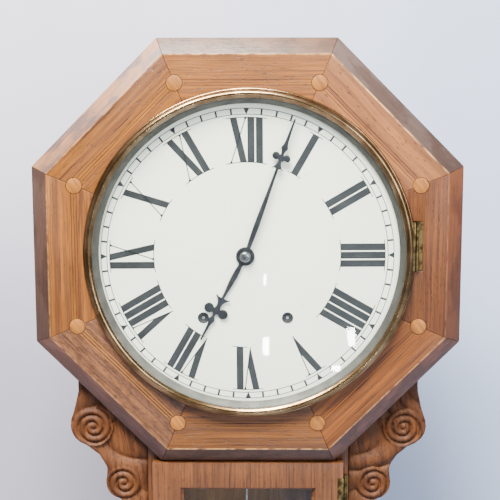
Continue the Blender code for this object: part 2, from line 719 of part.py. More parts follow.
def make_pallets():
    """An anchor over the escape wheel, with the crutch that guides the pendulum rod behind."""
    half = [(4.0, 4.5), (11.5, -1.0), (13.2, -7.2), (11.6, -8.0), (9.2, -2.6), (4.0, -3.6)]
    outline = half + [(-x, y) for x, y in reversed(half)]
    x, z = HANDS_X, PIVOT_Z
    anchor = flat("pallets", [outline], (58.6, 62.6), "steel", x, z)
    join(anchor, arbor("pallet_arbor", PALLET_ARBOR, (49.0, THROUGH[1]), 1.2))
    join(anchor, box("crutch", (x - 1.5, x + 1.5), (z - 46.0, z + 2.0), (49.4, 50.8)))
    fork = box("crutch_fork", (x - 4.6, x + 4.6), (z - 48.0, z - 43.5), (PENDULUM_H - 3.5, 50.6))
    join(anchor, fork)
    slot = box("fork_slot", (x - 1.8, x + 1.8), (z - 52.0, z - 40.0),
               (PENDULUM_H - 6.0, PENDULUM_H + 3.0))
    return cut(anchor, slot)


def motion_work():
    teeth, cannon_teeth, module = MOTION_PAIR
    cannon = flat("cannon_pinion",
                  [gear_loop(cannon_teeth, module, bearing(CENTRE, MINUTE_STUD) + math.pi / cannon_teeth),
                   circle(1.8)], (93.0, 95.4), "steel", HANDS_X)
    join(cannon, turned("cannon_pipe", [(1.8, 109.4), (2.6, 109.4), (2.6, 92.3), (1.8, 92.3)], None,
                        HANDS_X, steps=12))
    hour_teeth, leaves = HOUR_TEETH
    hour_module = 2 * (pair_reach(MOTION_PAIR) - MESH_PLAY) / (hour_teeth + leaves)
    minute = wheel("minute_wheel", teeth, module, (93.3, 94.6), bearing(MINUTE_STUD, CENTRE),
                   "brass", MINUTE_STUD, bore=1.5, hub=5.5)
    leaf = pinion("minute_pinion", leaves, hour_module, (94.4, 98.9), CENTRE, MINUTE_STUD)
    join(minute, leaf)
    cut(minute, arbor("minute_bore", MINUTE_STUD, (92.0, 100.0), 1.5))
    hour = wheel("hour_wheel", hour_teeth, hour_module, (96.6, 98.0),
                 bearing(CENTRE, MINUTE_STUD), "brass", bore=3.1, hub=6.5)
    join(hour, turned("hour_pipe", [(3.1, 106.8), (3.9, 106.8), (3.9, 96.0), (3.1, 96.0)], None,
                      HANDS_X, steps=16))


def strike_train():
    great_wheel("great_wheel_strike", STRIKE, PIN_ARBOR)
    winding_arbor("winding_arbor_strike", STRIKE)
    mainspring("mainspring_strike", STRIKE, -1)

    pins = wheel("pin_wheel", CENTRE_PAIR[0], CENTRE_PAIR[2], (85.5, 86.9),
                 bearing(PIN_ARBOR, WARNING_ARBOR), "brass", PIN_ARBOR)
    join(pins, pinion("pin_pinion", FIRST_PAIR[1], FIRST_PAIR[2], (57.5, 63.0), STRIKE, PIN_ARBOR))
    join(pins, arbor("pin_arbor", PIN_ARBOR, THROUGH))
    join(pins, lifting_pins())

    warning = wheel("warning_wheel", THIRD_PAIR[0], THIRD_PAIR[2], (66.0, 67.3),
                    bearing(WARNING_ARBOR, FLY_ARBOR), "brass", WARNING_ARBOR, hub=4.5)
    join(warning, pinion("warning_pinion", CENTRE_PAIR[1], CENTRE_PAIR[2], (84.0, 88.6), PIN_ARBOR,
                         WARNING_ARBOR))
    join(warning, arbor("warning_arbor", WARNING_ARBOR, THROUGH, 1.2))

    fly_x, fly_z = HANDS_X + FLY_ARBOR[0], FLY_ARBOR[1]
    fly = box("fly", (fly_x - 13.0, fly_x + 13.0), (fly_z - 0.4, fly_z + 0.4), (70.5, 83.0), "brass")
    join(fly, arbor("fly_arbor", FLY_ARBOR, THROUGH, 1.2))
    join(fly, pinion("fly_pinion", THIRD_PAIR[1], THIRD_PAIR[2], (64.0, 69.0), WARNING_ARBOR, FLY_ARBOR))


def lifting_pins():
    """The ring of pins that lifts the hammer's tail; they share one mesh."""
    bm = bmesh.new()
    for index in range(8):
        x, y = polar(23.6, 2 * math.pi * index / 8)
        bmesh.ops.create_cone(bm, cap_ends=True, segments=6, radius1=0.8, radius2=0.8, depth=3.0,
                              matrix=Matrix.Translation((x, y, 0.0)))
    piece = add_object("lifting_pins", mesh_from(bm, "lifting_pins"))
    return place(piece, HANDS_X + PIN_ARBOR[0], PIN_ARBOR[1], 84.4)


def make_hammer():
    x, z = HANDS_X + HAMMER_ARBOR[0], HAMMER_ARBOR[1]
    hammer = disc("hammer", ARBOR, (46.0, THROUGH[1]), "steel", x, z, sides=10)
    tail_tip = (x + 12.4, z + 7.6)
    join(hammer, wire("hammer_tail", [(x, z, 83.6), (*tail_tip, 83.6)], 0.8))
    head_x = GONG["x"] - GONG["outer"] - GONG["wire"] - 8.0
    rod = [(x, z + 0.5, 47.5), (x + 12.0, z - 38.0, 47.5), (x + 14.0, z - 80.0, 44.0),
           (x + 18.0, z - 112.0, 34.0), (head_x, GONG["z"], GONG["h"])]
    join(hammer, wire("hammer_rod", rod, 1.3))
    bm = bmesh.new()
    bmesh.ops.create_cone(bm, cap_ends=True, segments=14, radius1=5.0, radius2=5.0, depth=12.0,
                          matrix=Matrix.Rotation(math.pi / 2, 4, "Y"))
    head = add_object("hammer_head", mesh_from(bm, "hammer_head"))
    head.location = Vector((head_x, -GONG["h"], GONG["z"])) * MM
    return join(hammer, head)


def make_gong():
    turns, steps = 3.25, 14
    count = int(turns * steps)
    x, z, h = GONG["x"], GONG["z"], GONG["h"]
    coil = []
    for step in range(count + 1):
        share = step / count
        radius = GONG["outer"] + (GONG["inner"] - GONG["outer"]) * share
        across, up = polar(radius, math.pi + 2 * math.pi * turns * share, (x, z))
        coil.append((across, up, h))
    end_x, end_z, _ = coil[-1]
    coil.append((end_x, end_z, h - 5.0))
    wire("gong", coil, GONG["wire"], "steel", resolution=1)
    foot = h - 5.0 - FIT
    stand = box("gong_stand", (end_x - 9.0, end_x + 9.0), (end_z - 9.0, end_z + 9.0),
                (BACKBOARD + FIT, foot), "iron", bevel=1.5)
    return stand


# ---- movement plates and pendulum -------------------------------------------------------------

def plate_loops(arbors):
    """The rim and the pivot holes; arbors are (place, hole radius) pairs."""
    left, right, low, high = PLATE_EDGE
    rim = [(left, low), (right, low), (right, 20.0), (58.0, high), (-58.0, high), (left, 20.0)]
    return [rim] + [circle(radius, at, 8) for at, radius in arbors]


def make_plates():
    pivots = [(at, PIVOT_HOLE) for at in (SECOND, CENTRE, THIRD, ESCAPE_ARBOR, PALLET_ARBOR,
                                          PIN_ARBOR, WARNING_ARBOR, FLY_ARBOR, HAMMER_ARBOR)]
    stout = [(GOING, 3.7), (STRIKE, 3.7)]
    pillars = [(-78.0, -92.0), (78.0, -92.0), (-62.0, 56.0), (62.0, 56.0)]
    front = flat("front_plate", plate_loops(pivots + stout + [(at, 1.8) for at in pillars]),
                 FRONT_PLATE, "brass", HANDS_X)
    join(front, arbor("minute_stud", MINUTE_STUD, (91.0, 99.4), 1.2))
    back = flat("back_plate", plate_loops(pivots + stout), BACK_PLATE, "brass", HANDS_X)
    for number, at in enumerate(pillars):
        x, z = HANDS_X + at[0], at[1]
        profile = [(0.0, FRONT_PLATE[1] + 1.5), (1.5, FRONT_PLATE[1] + 1.5),
                   (1.5, FRONT_PLATE[0] - FIT), (4.0, FRONT_PLATE[0] - FIT),
                   (4.0, BACKBOARD + FIT), (0.0, BACKBOARD + FIT)]
        join(back, turned("pillar_%d" % number, profile, None, x, z, steps=8, closed=False))
    x = HANDS_X
    join(back, box("suspension_cock", (x - 5.0, x + 5.0), (PIVOT_Z + 2.5, PIVOT_Z + 9.0),
                   (PENDULUM_H - 4.0, BACK_PLATE[0] + 0.5)))


def make_pendulum():
    x, h = HANDS_X, PENDULUM_H
    low = BOB["z"] - BOB["radius"] - 16.0
    rod = upright_bar("pendulum_rod", x, (low, PIVOT_Z - 14.0), h, 1.2, "steel", sides=10)
    join(rod, box("suspension_strip", (x - 2.5, x + 2.5), (PIVOT_Z - 14.5, PIVOT_Z + 2.0),
                  (h - 0.3, h + 0.3)))
    place_origin(rod, PIVOT_Z)
    half = BOB["thickness"] / 2
    profile = [(0.0, h + half), (14.0, h + half - 0.9), (25.0, h + half - 3.2),
               (BOB["radius"], h + 0.8), (BOB["radius"], h - 0.8), (25.0, h - half + 3.2),
               (14.0, h - half + 0.9), (0.0, h - half)]
    bob = turned("bob", profile, "brass", x, BOB["z"], steps=24, closed=False)
    cut(bob, upright_bar("bob_bore", x, (BOB["z"] - 50.0, BOB["z"] + 50.0), h, 1.6))
    top = BOB["z"] - BOB["radius"] - FIT
    nut = upright_bar("rating_nut", x, (top - 5.0, top), h, 5.5, "brass", sides=16)
    cut(nut, upright_bar("nut_bore", x, (top - 8.0, top + 3.0), h, 1.5))
    hang_on_axis("pendulum_axis", [bob, nut], x, PIVOT_Z, h)


def place_origin(piece, z):
    """Moves the piece's origin up its own line to height z and leaves its shape in place."""
    lift = z * MM - piece.location.z
    piece.data.transform(Matrix.Translation((0.0, 0.0, -lift)))
    piece.location.z += lift


make_head()
make_case()
make_door()
make_bezel()
make_dial()
make_hands()
going_train()
make_pallets()
motion_work()
strike_train()
make_hammer()
make_gong()
make_plates()
make_pendulum()
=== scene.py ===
import json
import math

import bmesh
import bpy
from mathutils import Matrix, Vector


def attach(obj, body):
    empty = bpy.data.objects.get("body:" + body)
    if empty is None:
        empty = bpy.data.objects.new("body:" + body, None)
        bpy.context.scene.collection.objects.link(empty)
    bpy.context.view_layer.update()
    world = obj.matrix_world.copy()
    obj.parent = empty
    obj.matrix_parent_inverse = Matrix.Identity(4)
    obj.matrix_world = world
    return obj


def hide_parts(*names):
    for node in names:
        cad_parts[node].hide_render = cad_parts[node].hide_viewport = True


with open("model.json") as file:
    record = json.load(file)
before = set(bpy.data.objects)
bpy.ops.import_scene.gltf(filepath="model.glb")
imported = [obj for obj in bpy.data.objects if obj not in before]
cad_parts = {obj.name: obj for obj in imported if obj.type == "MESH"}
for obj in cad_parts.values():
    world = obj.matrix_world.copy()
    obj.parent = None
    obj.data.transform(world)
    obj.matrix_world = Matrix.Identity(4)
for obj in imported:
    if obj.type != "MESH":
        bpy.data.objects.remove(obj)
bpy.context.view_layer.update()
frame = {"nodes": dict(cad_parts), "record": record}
nodes = frame["nodes"]

# Sizes are in millimetres: x to the right, z up, h forwards from the wall.
mm = 0.001
headFront = 108.0
headCentre = (0.0, 0.0)
bezelCentre = (1.9, 1.7)
handCentre = (-2.0, 0.0)
printCentre = (0.0, 0.45)
head = {"flat": 200.0, "corner": 22.5, "lineAt": 172.5, "linePitch": 2.8, "lineWidth": 0.5,
        "lineDepth": 0.35, "lineHalf": 62.5, "roundelAt": 186.2, "pocket": 8.35, "pocketDepth": 1.8,
        "edge": 0.5}
glass = {"radius": 158.6, "back": 114.5, "front": 116.3}


def at(x, z, h):
    return Vector((x * mm, -h * mm, z * mm))


def polar(radius, degrees, centre=headCentre):
    turn = math.radians(degrees)
    return centre[0] + radius * math.cos(turn), centre[1] + radius * math.sin(turn)


def circle(radius, centre=headCentre, count=96):
    return [polar(radius, 360 * step / count, centre) for step in range(count)]


def arcRun(centre, radius, start, end, count):
    steps = range(count + 1)
    return [polar(radius, start + (end - start) * step / count, centre) for step in steps]


# making meshes

def finished(bm, name="made"):
    mesh = bpy.data.meshes.new(name)
    bm.to_mesh(mesh)
    bm.free()
    return mesh


def cleaned(bm, name="made", merge=0.002):
    # merges points closer than a distance in mm, and turns every face outwards
    bmesh.ops.remove_doubles(bm, verts=bm.verts, dist=merge * mm)
    bmesh.ops.recalc_face_normals(bm, faces=bm.faces)
    return finished(bm, name)


def placed(name, data):
    made = bpy.data.objects.new(name, data)
    bpy.context.scene.collection.objects.link(made)
    return made


def evaluated(holder):
    # the mesh that a helper object comes out as; the object itself is removed
    graph = bpy.context.evaluated_depsgraph_get()
    made = bpy.data.meshes.new_from_object(holder.evaluated_get(graph))
    bpy.data.objects.remove(holder)
    return made


def skin(profile, rings):
    # joins rings of points, each a copy of a closed profile; a stretch that lies at 0 makes no face
    bm = bmesh.new()
    loops = [[bm.verts.new(point) for point in ring] for ring in rings]
    for loop, following in zip(loops, loops[1:] + loops[:1]):
        for here in range(len(profile)):
            there = (here + 1) % len(profile)
            if profile[here][0] or profile[there][0]:
                bm.faces.new((loop[here], loop[there], following[there], following[here]))
    return cleaned(bm)


def lathe(profile, centre=headCentre, steps=192):
    # a closed profile of (radius, h) turned about a line square to the wall
    rings = []
    for step in range(steps):
        turn = 360 * step / steps
        rings.append([at(*polar(radius, turn, centre), h) for radius, h in profile])
    return skin(profile, rings)


def slab(loops, low, high):
    # closed (x, z) outlines, inner ones as holes, made solid between two heights
    curve = bpy.data.curves.new("outline", "CURVE")
    curve.dimensions = "2D"
    curve.fill_mode = "BOTH"
    curve.extrude = (high - low) / 2 * mm
    for loop in loops:
        spline = curve.splines.new("POLY")
        spline.points.add(len(loop) - 1)
        for point, (x, z) in zip(spline.points, loop):
            point.co = (x * mm, z * mm, 0, 1)
        spline.use_cyclic_u = True
    mesh = evaluated(placed("outline", curve))
    middle = -(low + high) / 2 * mm
    mesh.transform(Matrix(((1, 0, 0, 0), (0, 0, -1, middle), (0, 1, 0, 0), (0, 0, 0, 1))))
    bm = bmesh.new()
    bm.from_mesh(mesh)
    return cleaned(bm)


def block(xs, zs, hs):
    bm = bmesh.new()
    bmesh.ops.create_cube(bm, size=1)
    for corner in bm.verts:
        x, z, h = (side[0] if part < 0 else side[1] for side, part in
                   zip((xs, zs, hs), (corner.co.x, corner.co.z, -corner.co.y)))
        corner.co = at(x, z, h)
    return cleaned(bm)


def joined(meshes):
    bm = bmesh.new()
    for mesh in meshes:
        bm.from_mesh(mesh)
    return finished(bm, "joined")


def shaped(mesh, kind, settings):
    # gives the mesh that a modifier makes
    holder = placed("shaping", mesh)
    modifier = holder.modifiers.new(kind, kind)
    for key, value in settings.items():
        setattr(modifier, key, value)
    return evaluated(holder)


def bevelled(mesh, width, segments=2):
    return shaped(mesh, "BEVEL", {"width": width * mm, "segments": segments, "limit_method": "ANGLE",
                                  "angle_limit": math.radians(30)})


def cutBy(mesh, cutters):
    holder = placed("cutter", joined(cutters))
    made = shaped(mesh, "BOOLEAN", {"object": holder, "operation": "DIFFERENCE", "solver": "EXACT"})
    bpy.data.objects.remove(holder)
    return made


def cadMesh(name, edge, segments=2):
    # a merged copy of a node's mesh with its sharp edges eased
    mesh = nodes[name].data.copy()
    if "custom_normal" in mesh.attributes:
        mesh.attributes.remove(mesh.attributes["custom_normal"])
    bm = bmesh.new()
    bm.from_mesh(mesh)
    bmesh.ops.remove_doubles(bm, verts=bm.verts, dist=0.002 * mm)
    bmesh.ops.dissolve_limit(bm, angle_limit=math.radians(0.5), verts=bm.verts, edges=bm.edges)
    return bevelled(finished(bm, name + "Copy"), edge, segments)


def addPiece(name, mesh, body, material, replaced=(), angle=35):
    mesh.materials.clear()
    mesh.materials.append(material)
    mesh.polygons.foreach_set("material_index", [0] * len(mesh.polygons))
    mesh.polygons.foreach_set("use_smooth", [True] * len(mesh.polygons))
    mesh.set_sharp_from_angle(angle=math.radians(angle))
    piece = placed(name, mesh)
    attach(piece, body)
    if replaced:
        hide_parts(*replaced)


# building node trees

class Wire:
    # one output socket; sums, differences and products of it add Math nodes
    def __init__(self, tree, socket):
        self.tree = tree
        self.socket = socket

    def node(self, kind, settings=None, inputs=None, output=0):
        made = self.tree.nodes.new(kind)
        for name, value in (settings or {}).items():
            setattr(made, name, value)
        for name, value in (inputs or {}).items():
            if isinstance(value, Wire):
                self.tree.links.new(value.socket, made.inputs[name])
            else:
                made.inputs[name].default_value = value
        return Wire(self.tree, made.outputs[output])

    def math(self, operation, first, second=0.0):
        return self.node("ShaderNodeMath", {"operation": operation}, {0: first, 1: second})

    def __add__(self, other):
        return self.math("ADD", self, other)

    __radd__ = __add__

    def __mul__(self, other):
        return self.math("MULTIPLY", self, other)

    __rmul__ = __mul__

    def __sub__(self, other):
        return self.math("SUBTRACT", self, other)

    def __rsub__(self, other):
        return self.math("SUBTRACT", other, self)

    def size(self):
        return self.math("ABSOLUTE", self)

    def band(self, low, high):
        return self.node("ShaderNodeMapRange", {"interpolation_type": "SMOOTHSTEP"},
                         {"Value": self, "From Min": low, "From Max": high})

    def mix(self, low, high):
        return self.node("ShaderNodeMix", {"data_type": "RGBA"}, {0: self, 6: low, 7: high}, 2)

    def shade(self, colour, amount):
        # darkens a colour where this value is low
        grey = self.mix((1 - amount, 1 - amount, 1 - amount, 1), (1, 1, 1, 1))
        return self.node("ShaderNodeMix", {"data_type": "RGBA", "blend_type": "MULTIPLY"},
                         {0: 1.0, 6: colour, 7: grey}, 2)

    def parts(self):
        return [self.node("ShaderNodeSeparateXYZ", {}, {0: self}, index) for index in range(3)]

    def together(self, x, y, z):
        return self.node("ShaderNodeCombineXYZ", {}, {0: x, 1: y, 2: z})

    def noise(self, stretch, detail=2.0, shift=0.0, roughness=0.55):
        stretch = stretch if isinstance(stretch, tuple) else (stretch,) * 3
        spot = self.node("ShaderNodeVectorMath", {"operation": "MULTIPLY_ADD"},
                         {0: self, 1: stretch, 2: (shift, shift * 1.7, shift * 0.6)})
        return self.node("ShaderNodeTexNoise", {}, {"Vector": spot, "Scale": 1.0, "Detail": detail,
                                                    "Roughness": roughness})

    def bump(self, depth):
        # depth is in mm
        return self.node("ShaderNodeBump", {}, {"Height": self, "Distance": depth * mm})


def tone(red, green, blue):
    # a colour given as a screen shows it, from 0 to 255
    parts = [value / 255 for value in (red, green, blue)]
    straight = [value / 12.92 if value < 0.04045 else ((value + 0.055) / 1.055) ** 2.4
                for value in parts]
    return (*straight, 1.0)


def newMaterial(name, constants, build):
    made = bpy.data.materials.new(name)
    made.use_nodes = True
    tree = made.node_tree
    tree.nodes.clear()
    output = tree.nodes.new("ShaderNodeOutputMaterial")
    shader = tree.nodes.new("ShaderNodeBsdfPrincipled")
    tree.links.new(shader.outputs[0], output.inputs["Surface"])
    for socketName, value in constants.items():
        shader.inputs[socketName].default_value = value
    place = Wire(tree, tree.nodes.new("ShaderNodeTexCoord").outputs["Object"])
    for socketName, value in build(place).items():
        tree.links.new(value.socket, shader.inputs[socketName])
    return made


def geometryTree(name, **inputs):
    # a geometry tree with named inputs; gives them as wires, and a function that ends the tree
    tree = bpy.data.node_groups.new(name, "GeometryNodeTree")
    for label, kind in {"Geometry": "Geometry", **inputs, "Material": "Material"}.items():
        tree.interface.new_socket(label, in_out="INPUT", socket_type="NodeSocket" + kind)
    tree.interface.new_socket("Geometry", in_out="OUTPUT", socket_type="NodeSocketGeometry")
    start = tree.nodes.new("NodeGroupInput")
    wires = {socket.name: Wire(tree, socket) for socket in start.outputs if socket.name}

    def close(geometry):
        solid = geometry.node("GeometryNodeRealizeInstances", {}, {0: geometry})
        painted = geometry.node("GeometryNodeSetMaterial", {}, {"Geometry": solid,
                                                                "Material": wires["Material"]})
        end = tree.nodes.new("NodeGroupOutput")
        tree.links.new(painted.socket, end.inputs[0])
        return tree

    return wires, close


def grown(tree, base, values):
    # runs a geometry tree on a mesh, with its inputs set by name
    holder = placed("growing", base)
    modifier = holder.modifiers.new("tree", "NODES")
    modifier.node_group = tree
    for item in tree.interface.items_tree:
        if item.item_type == "SOCKET" and item.in_out == "INPUT" and item.name in values:
            modifier[item.identifier] = values[item.name]
    return evaluated(holder)


print("helpers ready")

# camera, lights and the pale cove

viewPoint = {"place": (0.0147, -1.2287, 0.1737), "azimuth": 0.61, "elevation": 8.47, "roll": -0.10,
             "lens": 81.7}


def makeCamera(look):
    azimuth = math.radians(look["azimuth"])
    elevation = math.radians(look["elevation"])
    forward = Vector((-math.sin(azimuth) * math.cos(elevation), math.cos(azimuth) * math.cos(elevation),
                      -math.sin(elevation)))
    right = Vector((math.cos(azimuth), math.sin(azimuth), 0))
    up = right.cross(forward)
    roll = math.radians(look["roll"])
    side = right * math.cos(roll) + up * math.sin(roll)
    top = up * math.cos(roll) - right * math.sin(roll)
    turn = Matrix((side, top, -forward)).transposed().to_4x4()
    data = bpy.data.cameras.new("camera")
    data.lens = look["lens"]
    data.sensor_width = 36
    data.clip_start = 0.05
    camera = placed("camera", data)
    camera.matrix_world = Matrix.Translation(look["place"]) @ turn
    bpy.context.scene.camera = camera


lamps = {
    "key": {"place": (-0.45, -1.15, 1.75), "size": (1.4, 0.8), "power": 450, "colour": (1.0, 0.985, 0.94)},
    "fill": {"place": (1.3, -2.0, 0.5), "size": (1.0, 1.2), "power": 52, "colour": (0.86, 0.93, 1.0)},
    "back": {"place": (0.5, 1.9, 0.9), "size": (1.4, 1.0), "power": 60, "colour": (1.0, 1.0, 1.0)},
}


def addLamp(name, look):
    data = bpy.data.lights.new(name, "AREA")
    data.shape = "RECTANGLE"
    data.size, data.size_y = look["size"]
    data.energy = look["power"]
    data.color = look["colour"]
    lamp = placed(name, data)
    lamp.location = look["place"]
    aim = Vector(look.get("aim", (0, -0.05, -0.05))) - lamp.location
    lamp.rotation_euler = aim.to_track_quat("-Z", "Y").to_euler()


def makeSky(colour, strength):
    sky = bpy.data.worlds.new("studio")
    sky.use_nodes = True
    sky.node_tree.nodes["Background"].inputs[0].default_value = colour
    sky.node_tree.nodes["Background"].inputs[1].default_value = strength
    bpy.context.scene.world = sky


cove = {"wall": 0.16, "floor": -0.95, "half": 4.0, "front": -40.0, "top": 3.2, "bend": 0.5}


def makeCove(look):
    # a wall and floor in one sweep, seen only from their front
    steps = 24
    run = [(look["front"], look["floor"])]
    for step in range(steps + 1):
        turn = math.pi / 2 * step / steps
        run.append((look["wall"] - look["bend"] * (1 - math.sin(turn)),
                    look["floor"] + look["bend"] * (1 - math.cos(turn))))
    run.append((look["wall"], look["top"]))
    bm = bmesh.new()
    left = [bm.verts.new((-look["half"], y, z)) for y, z in run]
    right = [bm.verts.new((look["half"], y, z)) for y, z in run]
    for index in range(len(run) - 1):
        bm.faces.new((left[index], right[index], right[index + 1], left[index + 1]))
    mesh = finished(bm, "cove")
    mesh.polygons.foreach_set("use_smooth", [True] * len(mesh.polygons))
    mesh.materials.append(covePaint())
    placed("cove", mesh)


def covePaint():
    def build(place):
        blotch = place.noise(3.0, 2.0)
        x, y, z = place.parts()
        # painted light and shade: the wall is coloured darker towards the floor and bluer to the right, as
        # the room's light falls on it; the blotches are the paint's own
        left = blotch.band(0.3, 0.7).mix(tone(158, 157, 169), tone(165, 164, 177))
        right = blotch.band(0.3, 0.7).mix(tone(144, 154, 174), tone(150, 160, 181))
        low = blotch.band(0.3, 0.7).mix(tone(128, 125, 135), tone(134, 131, 142))
        colour = z.band(-0.22, 0.14).mix(low, left)
        return {"Base Color": x.band(-0.1, 0.26).mix(colour, right), "Roughness": blotch * 0.1 + 0.8}

    made = newMaterial("covePaint", {}, build)
    tree = made.node_tree
    output = tree.nodes["Material Output"]
    shader = output.inputs["Surface"].links[0].from_socket
    wire = Wire(tree, shader)
    behind = wire.node("ShaderNodeNewGeometry", {}, {}, 6)
    clear = wire.node("ShaderNodeBsdfTransparent")
    both = wire.node("ShaderNodeMixShader", {}, {0: behind, 1: wire, 2: clear})
    tree.links.new(both.socket, output.inputs["Surface"])
    return made


makeCamera(viewPoint)
for lampName, lampLook in lamps.items():
    addLamp(lampName, lampLook)
# small lamps whose reflections lie on the glass: x, z, width, height and power of each
glints = {"upper": (17, -23, 0.007, 0.024, 0.16), "tall": (20, -90, 0.013, 0.044, 0.6),
          "slanted": (103, -79, 0.02, 0.04, 0.6), "low": (88, -111, 0.018, 0.012, 0.2)}
glintReach = 1.5
for lampName, (x, z, wide, tall, power) in glints.items():
    spot = at(x, z, glass["front"])
    sight = (spot - Vector(viewPoint["place"])).normalized()
    away = Vector((sight.x, -sight.y, sight.z))
    addLamp("glint" + lampName, {"place": spot + away * glintReach, "size": (wide, tall), "power": power,
                                 "colour": (1.0, 1.0, 1.0), "aim": spot})
makeSky((0.84, 0.89, 1.0, 1), 0.55)
makeCove(cove)
print("camera, lights and cove ready")

# wood

def dimmed(colour, gain):
    return (*(min(part * gain, 1.0) for part in colour[:3]), 1.0)


def asTones(look):
    # turns every colour of a look, given from 0 to 255, into a shader's colour
    made = dict(look)
    for key, value in look.items():
        if key == "chamfer":
            made[key] = tuple(dimmed(tone(*part), look.get("edgeGain", 1.0)) for part in value)
        elif isinstance(value, tuple) and len(value) == 3:
            made[key] = dimmed(tone(*value), look.get("gain", 1.0))
    return made


def beyond(value, start, width):
    # rises from 0 to 1 over a width past a start, both in mm
    return value.band(start * mm, (start + width) * mm)


def chamferTone(turned, fibre, streak, look):
    # the head's rim is sawn across another face of the wood, with tones of its own
    cloud = turned.noise((60, 60, 34), 3, look["seed"] + 17)
    edge = cloud.band(0.42, 0.6).mix(*look["chamfer"])
    edge = fibre.band(0.25, 0.75).shade(edge, 0.3)
    return (streak * 0.45).mix(edge, look["dark"])


def lineMark(across, along):
    # 1 in the three incised lines, which run from roundel to roundel
    offset = (across - head["lineAt"] * mm).size()
    nearest = offset.math("MINIMUM", offset, (offset - head["linePitch"] * mm).size())
    return (1 - beyond(nearest, 0.15, 0.3)) * (1 - beyond(along.size(), head["lineHalf"], 1.5))


def woodMaterial(name, look):
    # grain runs along z once the piece is turned, and x is then the distance out from the head's middle
    look = asTones(look)
    seed = look["seed"]

    def build(place):
        turned = place.node("ShaderNodeMapping", {}, {"Vector": place, "Rotation":
                                                      (0, math.radians(look["turn"]), 0)})
        across, depth, along = turned.parts()
        wander = turned.noise((30, 30, 7), 2, seed) - 0.5
        grain = turned.together(across + wander * look.get("sway", 0.006), depth, along)
        stripe = look["stripe"]
        figure = grain.noise((stripe, stripe, stripe * 0.022), 3, seed + 3)
        fibre = grain.noise((1300, 1300, 34), 2, seed + 5)
        streak = grain.noise((560, 560, 13), 2, seed + 7).band(0.58, 0.7)
        wide, tall = look.get("poreSize", (1100, 120))
        pore = grain.noise((wide, wide, tall), 1, seed + 9).band(0.63, 0.71)
        blotch = turned.noise((22, 22, 12), 3, seed + 11)
        colour = figure.band(0.32, 0.68).mix(look["mid"], look["light"])
        colour = (streak * look.get("streaks", 0.6)).mix(colour, look["dark"])
        colour = (pore * look.get("pores", 0.5)).mix(colour, look["dark"])
        colour = fibre.band(0.25, 0.75).shade(colour, look.get("fibre", 0.3))
        colour = blotch.band(0.3, 0.66).shade(colour, look.get("blotch", 0.2))
        height = fibre * 0.5 - pore * 0.8 - streak * 0.3
        if look.get("curl"):
            curl = grain.noise((170, 170, 62), 7, seed + 13, 0.74).band(0.49, 0.6)
            fleck = turned.noise((980, 980, 240), 2, seed + 15).band(0.55, 0.62)
            colour = (curl * look["curl"]).mix(colour, look["dark"])
            colour = (fleck * look["curl"]).mix(colour, look["dark"])
        if "chamfer" in look:
            flat = head["flat"]
            # painted highlight and wear: the ridge between the front and the rim is lightened in patches,
            # partly rubbed wood and partly the light's sheen on the edge
            wearAndSheen = turned.noise((150, 150, 90), 3, seed + 19).band(0.38, 0.6)
            colour = beyond(across, flat - 0.6, 0.9).mix(colour, chamferTone(turned, fibre, streak, look))
            ridge = beyond(across, flat - 1.7, 1.3) * (1 - beyond(across, flat - 0.1, 0.9))
            colour = (ridge * wearAndSheen * look.get("wear", 0.6)).mix(colour, tone(183, 135, 83))
            lineTone = look.get("lineTone", look["dark"])
            colour = (lineMark(across, along) * look.get("lineMark", 0.5)).mix(colour, lineTone)
        return {"Base Color": colour, "Roughness": fibre * 0.16 + blotch * 0.12 + look.get("rough", 0.34),
                "Normal": height.bump(0.18)}

    return newMaterial(name, {"Specular IOR Level": look.get("gloss", 0.35)}, build)


# each segment of the head, anticlockwise from three o'clock
oakLooks = {
    1: {"gain": 0.40, "edgeGain": 1.35, "light": (147, 80, 15), "mid": (104, 52, 12), "dark": (50, 22, 2),
        "chamfer": ((80, 43, 20), (66, 34, 15)), "stripe": 330, "sway": 0.003, "streaks": 0.45,
        "wear": 0.1, "lineTone": (176, 109, 17)},
    2: {"gain": 0.72, "edgeGain": 1.10, "light": (153, 93, 43), "mid": (114, 67, 35), "dark": (63, 33, 15),
        "chamfer": ((68, 53, 47), (56, 40, 33)), "stripe": 110, "sway": 0.016, "streaks": 0.25,
        "pores": 0.75, "wear": 0.8, "poreSize": (760, 140), "lineTone": (55, 28, 10), "lineMark": 0.7},
    3: {"gain": 0.78, "edgeGain": 0.90, "light": (146, 86, 24), "mid": (111, 64, 24), "dark": (55, 28, 6),
        "chamfer": ((90, 61, 42), (73, 49, 32)), "stripe": 260},
    # segment 4's rim tones are lighter and paler than the others': the wood's own tone with a painted sheen
    # where light grazes the upper left rim
    4: {"gain": 0.65, "edgeGain": 1.08, "light": (154, 91, 18), "mid": (112, 62, 20), "dark": (48, 22, 2),
        "chamfer": ((122, 83, 57), (83, 63, 56)), "stripe": 210, "sway": 0.005, "streaks": 0.85,
        "pores": 0.6, "wear": 0.25},
    5: {"gain": 0.67, "edgeGain": 1.10, "light": (149, 87, 18), "mid": (103, 58, 21), "dark": (50, 24, 2),
        "chamfer": ((56, 37, 28), (45, 27, 18)), "stripe": 380, "sway": 0.002, "streaks": 0.75,
        "pores": 0.3, "wear": 0.2},
    6: {"gain": 0.82, "edgeGain": 0.90, "light": (123, 77, 42), "mid": (85, 53, 36), "dark": (43, 22, 2),
        "chamfer": ((87, 56, 48), (74, 47, 38)), "stripe": 240, "sway": 0.012, "streaks": 0.85,
        "pores": 0.7, "curl": 0.5, "wear": 0.2, "lineTone": (171, 109, 9), "lineMark": 0.85},
    7: {"gain": 0.73, "light": (128, 75, 25), "mid": (94, 54, 22), "dark": (48, 23, 2),
        "chamfer": ((73, 46, 32), (60, 37, 24)), "stripe": 230, "sway": 0.008},
    8: {"gain": 0.66, "edgeGain": 1.05, "light": (143, 78, 14), "mid": (100, 53, 15), "dark": (50, 23, 2),
        "chamfer": ((91, 55, 41), (70, 42, 31)), "stripe": 340, "sway": 0.003, "streaks": 0.9,
        "pores": 0.35, "wear": 0.4},
}


